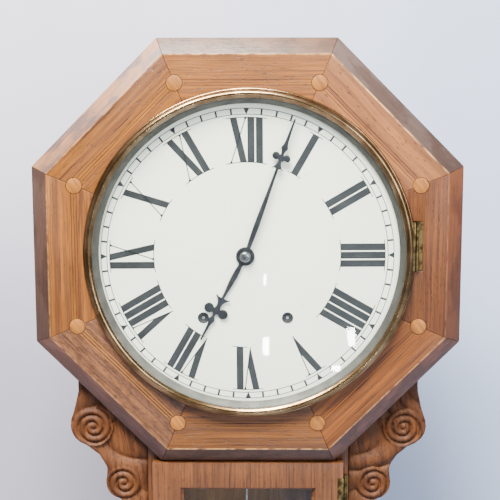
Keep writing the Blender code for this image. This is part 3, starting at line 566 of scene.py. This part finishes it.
segmentOak = {}
for number, look in oakLooks.items():
    segmentOak[number] = woodMaterial("segmentOak%d" % number,
                                      {**look, "turn": 45 * (number - 1), "seed": 4.3 * number})

caseOak = woodMaterial("caseOak", {
    "gain": 0.9, "light": (104, 59, 24), "mid": (76, 42, 16), "dark": (39, 12, 2),
    "turn": 0, "seed": 51.0, "stripe": 240, "streaks": 0.7})
railOak = woodMaterial("railOak", {
    "light": (108, 62, 24), "mid": (77, 43, 16), "dark": (39, 12, 2),
    "turn": 90, "seed": 57.0, "stripe": 240, "streaks": 0.7})
earOak = woodMaterial("earOak", {
    "light": (90, 50, 19), "mid": (64, 32, 7), "dark": (23, 2, 2), "turn": 8, "seed": 63.0,
    "stripe": 190, "sway": 0.012, "streaks": 0.8, "blotch": 0.4, "rough": 0.5, "gloss": 0.2})
pineBoard = woodMaterial("pineBoard", {
    "light": (137, 97, 39), "mid": (104, 72, 34), "dark": (59, 37, 15), "turn": 0, "seed": 71.0,
    "stripe": 120, "sway": 0.014, "streaks": 0.3, "pores": 0.1, "rough": 0.5})
roundelMaple = woodMaterial("roundelMaple", {
    "gain": 0.5, "light": (191, 120, 38), "mid": (158, 94, 32), "dark": (89, 54, 23),
    "turn": 35, "seed": 83.0, "stripe": 300, "streaks": 0.35, "pores": 0.4, "blotch": 0.14,
    "fibre": 0.14})

# metals, paint and glass

def metalMaterial(name, look):
    # tarnish lies in patches; spun metal also has fine turning marks round its own middle
    look = asTones(look)
    seed = look["seed"]

    def build(place):
        cloud = place.noise(look.get("patch", 60), 3, seed)
        speck = place.noise(look.get("speckle", 900), 2, seed + 3)
        scratch = place.noise((300, 300, 2600), 2, seed + 5)
        colour = cloud.band(0.36, 0.64).mix(look["dark"], look["light"])
        colour = (speck.band(0.6, 0.74) * look.get("specks", 0.4)).mix(colour, look["stain"])
        # painted shade: the colour is darkened towards the top and towards the right, where less light falls
        # on the sight ring's sloping face
        if "shadeAbove" in look:
            x, _, z = place.parts()
            colour = (1 - beyond(z, -160, 140)).shade(colour, look["shadeAbove"])
            colour = (1 - beyond(x, 20, 110)).shade(colour, look["shadeRight"])
        height = scratch * 0.5 + speck * 0.4
        rough = cloud * -0.12 + speck * 0.14 + scratch * 0.08 + look["rough"]
        if "spun" in look:
            x, z = look["spun"]
            flat = place.node("ShaderNodeVectorMath", {"operation": "MULTIPLY_ADD"},
                              {0: place, 1: (1, 0, 1), 2: (-x * mm, 0, -z * mm)})
            radius = place.node("ShaderNodeVectorMath", {"operation": "LENGTH"}, {0: flat}, 1)
            turning = place.together(radius, 0.0, 0.0).noise((2200, 1, 1), 3, seed + 7)
            colour = turning.band(0.3, 0.7).shade(colour, 0.3)
            height = height + turning
        return {"Base Color": colour, "Roughness": rough, "Normal": height.bump(look.get("depth", 0.04))}

    return newMaterial(name, {"Metallic": look.get("metallic", 1.0)}, build)


spunBrass = metalMaterial("spunBrass", {
    "light": (150, 123, 88), "dark": (99, 77, 50), "stain": (58, 42, 26), "spun": bezelCentre,
    "rough": 0.17, "patch": 34, "specks": 0.5, "seed": 2.0})
oldBrass = metalMaterial("oldBrass", {
    "light": (118, 99, 62), "dark": (58, 46, 28), "stain": (58, 46, 30), "rough": 0.36,
    "patch": 160, "seed": 5.0})
movementBrass = metalMaterial("movementBrass", {
    "light": (222, 184, 116), "dark": (184, 142, 82), "stain": (120, 88, 50), "rough": 0.26,
    "patch": 50, "seed": 8.0})
bluedSteel = metalMaterial("bluedSteel", {
    "light": (40, 44, 49), "dark": (24, 27, 31), "stain": (60, 60, 60), "rough": 0.42,
    "patch": 110, "specks": 0.35, "metallic": 0.3, "seed": 11.0})
plainSteel = metalMaterial("plainSteel", {
    "light": (196, 198, 200), "dark": (136, 136, 138), "stain": (92, 86, 80), "rough": 0.3,
    "patch": 90, "seed": 14.0})
blackIron = metalMaterial("blackIron", {
    "light": (52, 53, 56), "dark": (30, 31, 33), "stain": (84, 70, 60), "rough": 0.5,
    "metallic": 0.3, "depth": 0.15, "seed": 17.0})
# the sight ring's grey carries painted shade, darker at its top and at its right side
ringGrey = metalMaterial("ringGrey", {
    "gain": 0.45, "light": (150, 149, 138), "dark": (124, 123, 115), "stain": (182, 181, 175),
    "rough": 0.5, "shadeAbove": 0.5, "shadeRight": 0.38, "metallic": 0.15, "patch": 70,
    "speckle": 1100, "specks": 0.55, "depth": 0.05, "seed": 20.0})
darkEyelet = metalMaterial("darkEyelet", {
    "light": (38, 42, 44), "dark": (24, 27, 29), "stain": (70, 72, 72), "rough": 0.5,
    "metallic": 0.2, "patch": 300, "specks": 0.3, "seed": 23.0})
colletSteel = metalMaterial("colletSteel", {
    "light": (134, 137, 140), "dark": (84, 88, 92), "stain": (176, 176, 172), "rough": 0.26,
    "patch": 420, "specks": 0.5, "depth": 0.1, "seed": 27.0})


def dialPaintBuild(place):
    cloud = place.noise(14, 3, 3.0)
    grain = place.noise(1200, 2, 5.0)
    fleck = place.noise(170, 1, 8.0).band(0.77, 0.8)
    colour = cloud.band(0.35, 0.65).mix(tone(243, 245, 226), tone(247, 248, 231))
    colour = grain.band(0.2, 0.8).shade(colour, 0.03)
    colour = (fleck * 0.5).mix(colour, tone(176, 168, 150))
    return {"Base Color": colour, "Roughness": grain * 0.12 + 0.42, "Normal": grain.bump(0.01)}


def printBuild(place):
    cloud = place.noise(60, 3, 4.0)
    fleck = place.noise(1300, 2, 6.0).band(0.66, 0.74)
    colour = cloud.band(0.35, 0.65).mix(tone(27, 31, 33), tone(36, 40, 42))
    colour = (fleck * 0.5).mix(colour, tone(96, 99, 98))
    return {"Base Color": colour, "Roughness": cloud * 0.15 + 0.5, "Normal": cloud.bump(0.01)}


dialPaint = newMaterial("dialPaint", {}, dialPaintBuild)
dialPrint = newMaterial("dialPrint", {}, printBuild)


def glassMaterial():
    # thin clear glass: mostly see-through, with a reflection that grows towards grazing angles
    made = bpy.data.materials.new("clearGlass")
    made.use_nodes = True
    tree = made.node_tree
    tree.nodes.clear()
    place = Wire(tree, tree.nodes.new("ShaderNodeTexCoord").outputs["Object"])
    ripple = place.noise(9, 2, 2.0)
    gloss = place.node("ShaderNodeBsdfGlossy", {}, {"Color": (1, 1, 1, 1), "Roughness": 0.02,
                                                    "Normal": ripple.bump(0.3)})
    clear = place.node("ShaderNodeBsdfTransparent", {}, {"Color": (0.985, 0.99, 0.985, 1)})
    edge = place.node("ShaderNodeFresnel", {}, {"IOR": 1.45}) * 0.45
    both = place.node("ShaderNodeMixShader", {}, {0: edge, 1: clear, 2: gloss})
    output = tree.nodes.new("ShaderNodeOutputMaterial")
    tree.links.new(both.socket, output.inputs["Surface"])
    return made


clearGlass = glassMaterial()
print("materials ready")

# the octagonal head

def turnedOut(mesh, degrees):
    # turns a mesh made at three o'clock anticlockwise round the head's middle
    mesh.transform(Matrix.Rotation(math.radians(-degrees), 4, "Y"))
    return mesh


def incisedLine(apothem):
    # a long wedge whose edge cuts a shallow groove along a segment
    half, width, depth = head["lineHalf"], head["lineWidth"], head["lineDepth"]
    proud = 0.4
    wide = width / 2 * (depth + proud) / depth
    section = [(apothem - wide, headFront + proud), (apothem + wide, headFront + proud),
               (apothem, headFront - depth)]
    bm = bmesh.new()
    ends = [[bm.verts.new(at(x, z, h)) for x, h in section] for z in (-half, half)]
    bm.faces.new(ends[0])
    bm.faces.new(reversed(ends[1]))
    for here in range(3):
        there = (here + 1) % 3
        bm.faces.new((ends[0][here], ends[1][here], ends[1][there], ends[0][there]))
    return cleaned(bm)


def segmentMesh(number):
    mesh = cadMesh("surround_segment_%d" % number, head["edge"])
    turn = 45 * (number - 1)
    cutters = []
    for offset in (-1, 0, 1):
        line = incisedLine(head["lineAt"] + offset * head["linePitch"])
        cutters.append(turnedOut(line, turn))
    for side in (-head["corner"], head["corner"]):
        centre = polar(head["roundelAt"], turn + side)
        cutters.append(slab([circle(head["pocket"], centre, 48)], headFront - head["pocketDepth"],
                            headFront + 1))
    return cutBy(mesh, cutters)


for number in range(1, 9):
    addPiece("headSegment%d" % number, segmentMesh(number), "case", segmentOak[number],
             ["surround_segment_%d" % number])


def roundelTree():
    # flush wooden discs at even steps round a circle
    wires, close = geometryTree("roundelRing", Count="Int", Reach="Float", Radius="Float",
                                Thickness="Float")
    first = wires["Geometry"]
    ring = first.node("GeometryNodeMeshCircle", {}, {"Vertices": wires["Count"],
                                                     "Radius": wires["Reach"]})
    disc = first.node("GeometryNodeMeshCylinder", {}, {"Vertices": 56, "Radius": wires["Radius"],
                                                       "Depth": wires["Thickness"]})
    discs = first.node("GeometryNodeInstanceOnPoints", {}, {"Points": ring, "Instance": disc})
    stood = first.node("GeometryNodeTransform", {}, {"Geometry": discs, "Rotation":
                                                     (math.pi / 2, math.radians(head["corner"]), 0)})
    return close(stood)


roundel = {"radius": 7.75, "thickness": 0.85, "sunk": 0.42, "edge": 0.15}
roundels = grown(roundelTree(), bpy.data.meshes.new("none"),
                 {"Count": 8, "Reach": head["roundelAt"] * mm, "Radius": roundel["radius"] * mm,
                  "Thickness": roundel["thickness"] * mm, "Material": roundelMaple})
roundels.transform(Matrix.Translation(at(0, 0, headFront - roundel["sunk"])))
addPiece("roundels", bevelled(roundels, roundel["edge"]), "case", roundelMaple)
print("head ready")

# bezel, sight ring and glass

bezel = {"foot": 108.3, "outer": 166.0, "lip": 155.9, "seat": 158.9, "inner": 160.2,
         "rim": ((164.3, 111.3), 1.7, -10, 165, 14), "bead": ((159.9, 115.9), 3.7, -40, 140, 22)}
outer, lip, seat = bezel["outer"], bezel["lip"], bezel["seat"]
bezelProfile = [(outer, bezel["foot"]), (outer, 110.0), *arcRun(*bezel["rim"]), *arcRun(*bezel["bead"]),
                (lip + 0.3, 117.7), (lip, 117.0), (lip + 0.2, 116.6), (seat, 116.5), (seat, 114.1),
                (bezel["inner"], 113.8), (bezel["inner"], bezel["foot"])]

# the rim is cut flat beside the hinge, and the hinge's leaf lies against the flat
hinge = {"x": (164.3, 167.2), "z": (-14.2, 34.8), "h": (108.4, 112.2), "edge": 0.4,
         "cutZ": (-14.6, 35.2), "cutX": (164.3, 172.0), "cutH": (107.0, 121.0)}
rimCut = block(hinge["cutX"], hinge["cutZ"], hinge["cutH"])
addPiece("bezelRing", cutBy(lathe(bezelProfile, bezelCentre), [rimCut]), "bezel",
         spunBrass, ["bezel_ring"], 50)
addPiece("hingeRimLeaf", bevelled(block(hinge["x"], hinge["z"], hinge["h"]), hinge["edge"]), "bezel",
         oldBrass)
sightProfile = [(155.6, 114.2), (158.8, 114.2), (158.8, 113.2), (156.2, 113.2), (154.0, 110.2),
                (151.6, 107.0), (151.1, 106.8), (150.7, 107.0), (150.5, 107.5), (150.6, 108.3),
                (152.9, 110.9), (154.4, 112.9)]
addPiece("sightRing", lathe(sightProfile, bezelCentre), "bezel", ringGrey,
         ["sight_ring"], 50)
addPiece("bezelGlass", slab([circle(glass["radius"], bezelCentre, 192)], glass["back"], glass["front"]),
         "bezel", clearGlass, ["bezel_glass"])
nodes["door_glass"].data.materials[0] = clearGlass
print("bezel ready")

# dial and its print

dial = {"front": 104.5, "back": 103.3, "radius": 159.0, "middleHole": 6.0, "winding": (42.5, -63.0),
        "hole": 5.6, "printLow": 104.51, "printHigh": 104.56, "turn": -0.3, "bandInner": 94.0,
        "bandOuter": 138.0, "trackInner": 141.0, "trackOuter": 147.0, "track": 0.7}
eyelet = [(5.75, 104.52), (5.75, 104.7), (5.35, 104.95), (4.9, 104.9), (4.4, 104.5), (2.9, 103.95),
          (1.45, 103.85), (1.45, 103.7), (3.4, 103.7), (5.5, 104.0), (5.5, 104.52)]
dialHoles = [circle(dial["middleHole"], handCentre, 48)]
for name, side in (("eyeletLeft", -1), ("eyeletRight", 1)):
    spot = (handCentre[0] + side * dial["winding"][0], handCentre[1] + dial["winding"][1])
    dialHoles.append(circle(dial["hole"], spot, 48))
    addPiece(name, lathe(eyelet, spot, 64), "case", darkEyelet)
plate = slab([circle(dial["radius"], handCentre, 192)] + dialHoles, dial["back"], dial["front"])
addPiece("dialPlate", plate, "case", dialPaint, ["dial"])


def onDial(x, y, hour):
    # x is clockwise and y outwards at that hour
    turn = math.radians(30 * hour + dial["turn"])
    return (printCentre[0] + x * math.cos(turn) + y * math.sin(turn),
            printCentre[1] - x * math.sin(turn) + y * math.cos(turn))


# widths along the dial: the thick strokes, the gaps after letters, hairlines and serifs
letter = {"I": 6.95, "gapI": 1.45, "V": 14.6, "apex": 9.2, "thick": 6.7, "gapV": 1.7, "X": 16.7,
          "crossIn": 10.0, "crossHair": (1.0, 15.6), "gapX": 0.6, "hair": 1.0, "wedge": 1.5,
          "wedgeTall": 3.4, "serif": 4.0, "serifOut": 0.15, "serifHalf": 0.36}


def upTo(radius, x):
    # how far out a circle of the dial lies at a sideways distance
    return math.sqrt(radius ** 2 - x ** 2)


def strokeShape(inner, outer, low=dial["bandInner"], high=dial["bandOuter"], steps=4):
    # a stroke between two arcs: its left and right at the inner end, then at the outer end
    shape = []
    for (left, right), radius in ((inner, low), ((outer[1], outer[0]), high)):
        for step in range(steps):
            x = left + (right - left) * step / (steps - 1)
            shape.append((x, upTo(radius, x)))
    return shape


def hairline(inner, outer):
    half = letter["hair"] / 2
    return strokeShape((inner - half, inner + half), (outer - half, outer + half))


def hairEnd(x, tipX, radius, towards):
    # the small wedge where a hairline meets its serif
    y = upTo(radius, x)
    return [(x - letter["wedge"], y), (tipX, y + towards * letter["wedgeTall"]), (x + letter["wedge"], y)]


def letterV(x):
    # thick left stroke with its point on the inner circle, and a hairline on the right
    low, high = dial["bandInner"], dial["bandOuter"]
    width, apex, thick = letter["V"], x + letter["apex"], letter["thick"]
    join = thick / width
    left, right = upTo(high, x), upTo(high, x + thick)
    shape = [(apex, low), (x, left), (x + thick / 2, (left + right) / 2), (x + thick, right),
             (x + thick + (apex - x) * (1 - join), low + (high - low) * join)]
    return [shape, hairline(apex, x + width), hairEnd(x + width, x + width - 0.4, high, -1)], width


def letterX(x):
    # thick from top left to bottom right, hairline across it
    width = letter["X"]
    low, high = (x + part for part in letter["crossHair"])
    thick = strokeShape((x + letter["crossIn"], x + width), (x, x + letter["thick"]))
    return [thick, hairline(low, high), hairEnd(high, high - 1.0, dial["bandOuter"], -1),
            hairEnd(low, low + 1.0, dial["bandInner"], 1)], width


def letterI(x):
    width = letter["I"]
    return [strokeShape((x, x + width), (x, x + width))], width


letterMakers = {"I": letterI, "V": letterV, "X": letterX}
numerals = ["I", "II", "III", "IIII", "V", "VI", "VII", "VIII", "IX", "X", "XI", "XII"]


def numeralShapes(text):
    # the outer serif runs over the whole numeral, the inner one only under letters with a foot
    spans = []
    x = 0.0
    for sign in text:
        _, width = letterMakers[sign](x)
        spans.append((sign, x, x + width))
        x += width + letter["gap" + sign]
    middle = spans[-1][2] / 2
    shapes = []
    for sign, left, _ in spans:
        made, _ = letterMakers[sign](left - middle)
        shapes += made
    footed = [span for span in spans if span[0] != "V"]
    half = letter["serifHalf"]
    for run, radius in ((footed, dial["bandInner"] - letter["serifOut"]),
                        (spans, dial["bandOuter"] + letter["serifOut"])):
        if run:
            ends = (run[0][1] - middle - letter["serif"], run[-1][2] - middle + letter["serif"])
            shapes.append(strokeShape(ends, ends, radius - half, radius + half, 12))
    return shapes


printMeshes = []
for hour, text in enumerate(numerals, 1):
    for shape in numeralShapes(text):
        loop = [onDial(x, y, hour) for x, y in shape]
        printMeshes.append(slab([loop], dial["printLow"], dial["printHigh"]))
for radius in (dial["trackInner"], dial["trackOuter"]):
    inner, outer = radius - dial["track"] / 2, radius + dial["track"] / 2
    printMeshes.append(lathe([(inner, dial["printLow"]), (inner, dial["printHigh"]),
                              (outer, dial["printHigh"]), (outer, dial["printLow"])], printCentre))


def marksTree(name, wedge):
    # marks at even steps round a circle: bars between the hours, or wedges on them; the scales turn a
    # three-sided prism of radius 1 into a wedge of the wanted length and width
    wires, close = geometryTree(name, Count="Int", Radius="Float", Length="Float", Width="Float",
                                Thickness="Float")
    first = wires["Geometry"]
    ring = first.node("GeometryNodeMeshCircle", {}, {"Vertices": wires["Count"],
                                                     "Radius": wires["Radius"]})
    outwards = first.node("GeometryNodeInputPosition")
    facing = first.node("FunctionNodeAlignRotationToVector", {"axis": "X"}, {"Vector": outwards})
    values = {"Points": ring, "Rotation": facing}
    if wedge:
        mark = first.node("GeometryNodeMeshCylinder", {}, {"Vertices": 3, "Radius": 1.0, "Depth": 1.0})
        values["Scale"] = first.together(wires["Length"] * (-1 / 1.5), wires["Width"] * (1 / 1.732),
                                         wires["Thickness"])
    else:
        index = first.node("GeometryNodeInputIndex")
        between = index.math("MODULO", index, 5.0)
        values["Selection"] = between.math("GREATER_THAN", between, 0.5)
        mark = first.node("GeometryNodeMeshCube", {}, {"Size": (1.0, 1.0, 1.0)})
        values["Scale"] = first.together(wires["Length"], wires["Width"], wires["Thickness"])
    values["Instance"] = mark
    marks = first.node("GeometryNodeInstanceOnPoints", {}, values)
    stood = first.node("GeometryNodeTransform", {}, {"Geometry": marks,
                                                     "Rotation": (math.pi / 2, 0.0, 0.0)})
    return close(stood)


trackMiddle = (dial["trackInner"] + dial["trackOuter"]) / 2
# whether they are wedges, how many, their length and width, and how far out of the track's middle
trackMarks = {"minuteBars": (False, 60, 6.0, 1.95, 0.0), "hourWedges": (True, 12, 6.6, 5.9, 0.9)}
for name, (wedge, count, length, width, outwards) in trackMarks.items():
    marks = grown(marksTree(name, wedge), bpy.data.meshes.new("none"),
                  {"Count": count, "Radius": (trackMiddle + outwards) * mm, "Length": length * mm,
                   "Width": width * mm, "Thickness": (dial["printHigh"] - dial["printLow"]) * mm,
                   "Material": dialPrint})
    marks.transform(Matrix.Rotation(math.radians(dial["turn"]), 4, "Y"))
    marks.transform(Matrix.Translation(at(*printCentre, (dial["printLow"] + dial["printHigh"]) / 2)))
    bm = bmesh.new()
    bm.from_mesh(marks)
    printMeshes.append(cleaned(bm, name, 0.0005))
addPiece("dialPrint", joined(printMeshes), "case", dialPrint)
print("dial ready")

# hands and what turns them

hands = {"edge": 0.15, "minute": (2.9, 109.0, 109.8, 19.85), "hour": (4.3, 106.2, 107.1, 208.0)}
collet = [(0.0, 113.2), (0.9, 113.15), (1.1, 112.9), (1.2, 112.6), (2.2, 112.5), (3.6, 112.1), (4.6, 111.5),
          (5.2, 110.8), (5.45, 110.35), (5.45, 110.1), (1.9, 110.1), (1.9, 110.4), (0.0, 110.4)]
# the right-hand side of each hand pointing up: boss, blade, barb, lobe and tip
minuteSide = [*arcRun((0, 0), 5.7, -90, 68, 20), (2.0, 8.0), (2.5, 20.0), (2.75, 34.0), (2.4, 50.0),
              (1.9, 66.0), (1.45, 82.0), (1.35, 93.2), (3.2, 94.2), (5.4, 92.9), (5.6, 93.5), (4.1, 94.9),
              (2.8, 97.0), (1.9, 99.6), (1.7, 101.6), (2.4, 103.5), *arcRun((5.5, 105.6), 3.75, 213, 507, 30),
              (2.2, 107.5), (1.5, 108.5), (1.4, 110.0), (2.1, 112.3), (3.4, 114.6), (3.4, 115.4),
              (2.3, 118.2), (1.7, 121.5), (1.2, 133.0), (0.85, 145.2)]
hourSide = [*arcRun((0, 0), 9.4, -90, 74, 24), (2.0, 11.0), (2.6, 17.0), (2.8, 23.0), (2.5, 31.0),
            (1.8, 39.5), (1.3, 48.2), (3.9, 48.4), (7.6, 47.2), (7.8, 47.8), (5.6, 49.8), (4.0, 51.6),
            (2.7, 54.4), (2.2, 57.2), (2.6, 59.6), (3.6, 61.0), *arcRun((7.9, 63.0), 4.9, 208, 510, 32),
            (3.0, 65.6), (1.9, 66.0), (1.35, 67.2), (1.6, 69.6), (3.3, 73.0), (3.3, 73.7), (2.0, 76.6),
            (1.5, 79.5), (1.2, 86.0), (0.85, 96.4)]


def handMesh(side, bore, low, high, degrees):
    # a flat hand, turned clockwise from twelve o'clock
    outline = side + [(-x, y) for x, y in reversed(side)]
    mesh = bevelled(slab([outline, circle(bore, (0, 0), 40)], low, high), hands["edge"])
    mesh.transform(Matrix.Rotation(math.radians(degrees), 4, "Y"))
    mesh.transform(Matrix.Translation(at(*handCentre, 0)))
    return mesh


addPiece("minuteHand", handMesh(minuteSide, *hands["minute"]), "minute_hands", bluedSteel,
         ["minute_hand"])
addPiece("hourHand", handMesh(hourSide, *hands["hour"]), "hour_hands", bluedSteel,
         ["hour_hand"])
addPiece("handCollet", lathe(collet, handCentre, 64), "minute_hands", colletSteel,
         ["hand_collet"])
print("hands ready")

# case, trunk and door

woodParts = {
    "case_side_left": ("case_oak", caseOak, 0.8), "case_side_right": ("case_oak", caseOak, 0.8),
    "trunk_foot": ("case_oak", railOak, 1.2), "door_frame": ("case_oak", caseOak, 0.8),
    "case_top": ("pine", pineBoard, 0.5), "backboard": ("pine", pineBoard, 0.5),
    "trunk_floor": ("pine", pineBoard, 0.4), "dial_board": ("pine", pineBoard, 0.4),
}
bodyOf = {node: body for body, members in frame["record"]["behaviour"]["bodies"].items()
          for node in members}


def camel(name):
    first, *rest = name.split("_")
    return first + "".join(word.capitalize() for word in rest)


# merged, softened copies that stand for their nodes
for name, (slotName, material, edge) in woodParts.items():
    addPiece(camel(name) + "Eased", cadMesh(name, edge), bodyOf[name], material, [name])


# the ears' carving: two scrolls, and leaves that fan down from the head
ear = {"front": 85.7, "edge": 2.4, "voxel": 1.1, "reach": 9.0, "deep": 6.5, "fanFrom": (163.0, -92.0),
       "scrolls": [(162.0, -184.0, 21.0), (131.0, -245.0, 18.0)], "band": 7.5, "eye": 4.5,
       "leavesLeft": 6.5, "leavesRight": 11.0}


def scrollHeight(x, z, scroll):
    # a raised spiral band round an eye: 1 where the wood stands high
    centreX, centreZ, size = scroll
    reach = math.hypot(x - centreX, z - centreZ)
    if reach > size:
        return None
    turn = math.atan2(z - centreZ, x - centreX) / (2 * math.pi)
    band = (reach / ear["band"] + turn) % 1.0
    eye = max(0.0, 1 - reach / ear["eye"])
    return max(0.35 + 0.65 * math.sin(math.pi * band) ** 0.6, eye)


def leafHeight(x, z, ridges):
    # rounded leaves side by side, with a sharp crease between each two
    fromX, fromZ = ear["fanFrom"]
    turn = math.atan2(x - fromX, fromZ - z)
    reach = math.hypot(x - fromX, z - fromZ)
    bend = 0.35 * math.sin(reach / 23.0)
    crest = abs(math.sin((turn + bend) * ridges))
    notch = 0.5 + 0.5 * math.cos(reach / 9.0 + 2.2 * math.sin(turn * 5))
    return (0.25 + 0.75 * crest ** 0.7) * (0.72 + 0.28 * notch)


def carvedEar(name, side, ridges):
    mesh = shaped(cadMesh(name, ear["edge"], 3), "REMESH",
                  {"mode": "VOXEL", "voxel_size": ear["voxel"] * mm, "use_smooth_shade": True})
    for corner in mesh.vertices:
        x, z, h = corner.co.x / mm * side, corner.co.z / mm, -corner.co.y / mm
        share = (h - ear["front"] + ear["reach"]) / ear["reach"]
        if share <= 0:
            continue
        height = leafHeight(x, z, ridges)
        for scroll in ear["scrolls"]:
            raised = scrollHeight(x, z, scroll)
            if raised is not None:
                height = raised
        corner.co.y += share * (1 - height) * ear["deep"] * mm
    return shaped(mesh, "SMOOTH", {"factor": 0.5, "iterations": 1})


for name, side, ridges in (("carved_ear_left", -1, ear["leavesLeft"]),
                           ("carved_ear_right", 1, ear["leavesRight"])):
    addPiece(camel(name), carvedEar(name, side, ridges), "case", earOak, [name], 60)
print("case ready")

# the door's moulding and its own hinge leaves

door = {"x": (-70.0, 70.0), "z": (-375.0, -244.6), "hinges": (-250.0, -374.0), "hingeHalf": 16.0,
        "faceLeaf": ((93.2, 99.4), (98.9, 99.6)), "edgeLeaf": ((98.8, 99.5), (86.4, 99.6)), "edge": 0.2}


def frameRun(profile, xs, zs):
    # a closed profile of (inset, h) carried round a rectangle with mitred corners
    rings = []
    for signX, signZ in ((-1, -1), (1, -1), (1, 1), (-1, 1)):
        ring = []
        for inset, h in profile:
            x = (xs[1] - inset) if signX > 0 else (xs[0] + inset)
            z = (zs[1] - inset) if signZ > 0 else (zs[0] + inset)
            ring.append(at(x, z, h))
        rings.append(ring)
    return skin(profile, rings)


moulding = [(-0.4, 91.0), (3.4, 91.0), (3.4, 92.2)] + arcRun((0.6, 92.2), 2.8, 0, 80, 8)
moulding += [(0.9, 96.0), (0.5, 97.2), (-0.4, 97.6)]
addPiece("doorMoulding", frameRun(moulding, door["x"], door["z"]), "trunk_door", railOak, (), 30)
leafMeshes = []
for middle in door["hinges"]:
    for xs, hs in (door["faceLeaf"], door["edgeLeaf"]):
        leafMeshes.append(block(xs, (middle - door["hingeHalf"], middle + door["hingeHalf"]), hs))
addPiece("doorHingeLeaves", bevelled(joined(leafMeshes), door["edge"]), "trunk_door", oldBrass)


def screwTree():
    # slotted screw heads on the points of a mesh, each slot turned its own way
    wires, close = geometryTree("screws", Head="Float", Thickness="Float", Seed="Int")
    first = wires["Geometry"]
    head = first.node("GeometryNodeMeshCylinder", {}, {"Vertices": 28, "Radius": wires["Head"],
                                                       "Depth": wires["Thickness"]})
    slotSize = first.together(wires["Head"] * 2.4, wires["Head"] * 0.26, wires["Thickness"] * 0.9)
    cutter = first.node("GeometryNodeMeshCube", {}, {"Size": slotSize})
    lifted = first.node("GeometryNodeTransform", {}, {"Geometry": cutter, "Translation":
                                                      first.together(0.0, 0.0, wires["Thickness"] * 0.5)})
    slotted = first.node("GeometryNodeMeshBoolean", {"operation": "DIFFERENCE", "solver": "EXACT"},
                         {"Mesh 1": head, "Mesh 2": lifted})
    spin = first.node("FunctionNodeRandomValue", {"data_type": "FLOAT"},
                      {"Min": 0.0, "Max": math.pi, "Seed": wires["Seed"]}, "Value")
    screws = first.node("GeometryNodeInstanceOnPoints", {},
                        {"Points": first, "Instance": slotted,
                         "Rotation": first.together(math.pi / 2, 0.0, 0.0)})
    turned = first.node("GeometryNodeRotateInstances", {}, {"Instances": screws, "Rotation":
                                                            first.together(0.0, 0.0, spin)})
    return close(turned)


# body, slot, material, head radius, thickness, height and places of each set
screwSets = {
    "hingeScrews": ("case", "old_brass", oldBrass, 1.9, 0.9, 108.2,
                    [(172.3, z) for z in (-8.5, 10.5, 29.5)]),
    "doorScrews": ("trunk_door", "old_brass", oldBrass, 1.7, 0.8, 99.85,
                   [(96.2, middle + step) for middle in door["hinges"] for step in (-10.5, 0, 10.5)]),
    "hangerScrews": ("case", "steel", plainSteel, 2.6, 1.0, 2.3,
                     [(x, z) for x in (-11, 11) for z in (91, 108)]),
    "plateScrews": ("case", "steel", plainSteel, 2.4, 1.1, 92.0,
                    [(x, z) for x in (-78, 74) for z in (-94, -14, 66)]),
}
screws = screwTree()
for name, (body, slotName, material, size, thick, h, places) in screwSets.items():
    points = bpy.data.meshes.new(name)
    points.from_pydata([at(x, z, h) for x, z in places], [], [])
    made = grown(screws, points, {"Head": size * mm, "Thickness": thick * mm, "Seed": len(name),
                                  "Material": material})
    addPiece(name, made, body, material)

# the pendulum's bob

bob = {"centre": (-2.0, -330.0), "radius": 33.0, "h": 39.0, "crown": 7.0, "rim": 0.6}
bobFront = []
for degrees in range(6, 85, 6):
    turn = math.radians(degrees)
    bobFront.append((bob["radius"] * math.sin(turn), bob["h"] + bob["crown"] * math.cos(turn)))
bobFront.append((bob["radius"], bob["h"] + bob["rim"]))
bobBack = [(radius, 2 * bob["h"] - h) for radius, h in reversed(bobFront)]
bobProfile = [(0, bob["h"] + bob["crown"]), *bobFront, *bobBack, (0, bob["h"] - bob["crown"])]
bobBrass = metalMaterial("bobBrass", {
    "light": (214, 176, 108), "dark": (178, 138, 78), "stain": (112, 82, 46), "spun": bob["centre"],
    "rough": 0.22, "patch": 40, "seed": 31.0})
addPiece("bobDisc", lathe(bobProfile, bob["centre"], 128), "pendulum", bobBrass, ["bob"])
print("trunk ready")

# the movement and the small metal parts keep their shapes and take finer materials

finishes = {"old_brass": oldBrass, "movement_brass": movementBrass, "steel": plainSteel,
            "iron": blackIron, "bezel_brass": spunBrass, "blued_steel": bluedSteel}
slotOf = {part["node"]: part["material_slot"] for part in frame["record"]["subparts"]}
for name, piece in nodes.items():
    if slotOf[name] in finishes:
        piece.data.materials[0] = finishes[slotOf[name]]
print("movement ready")
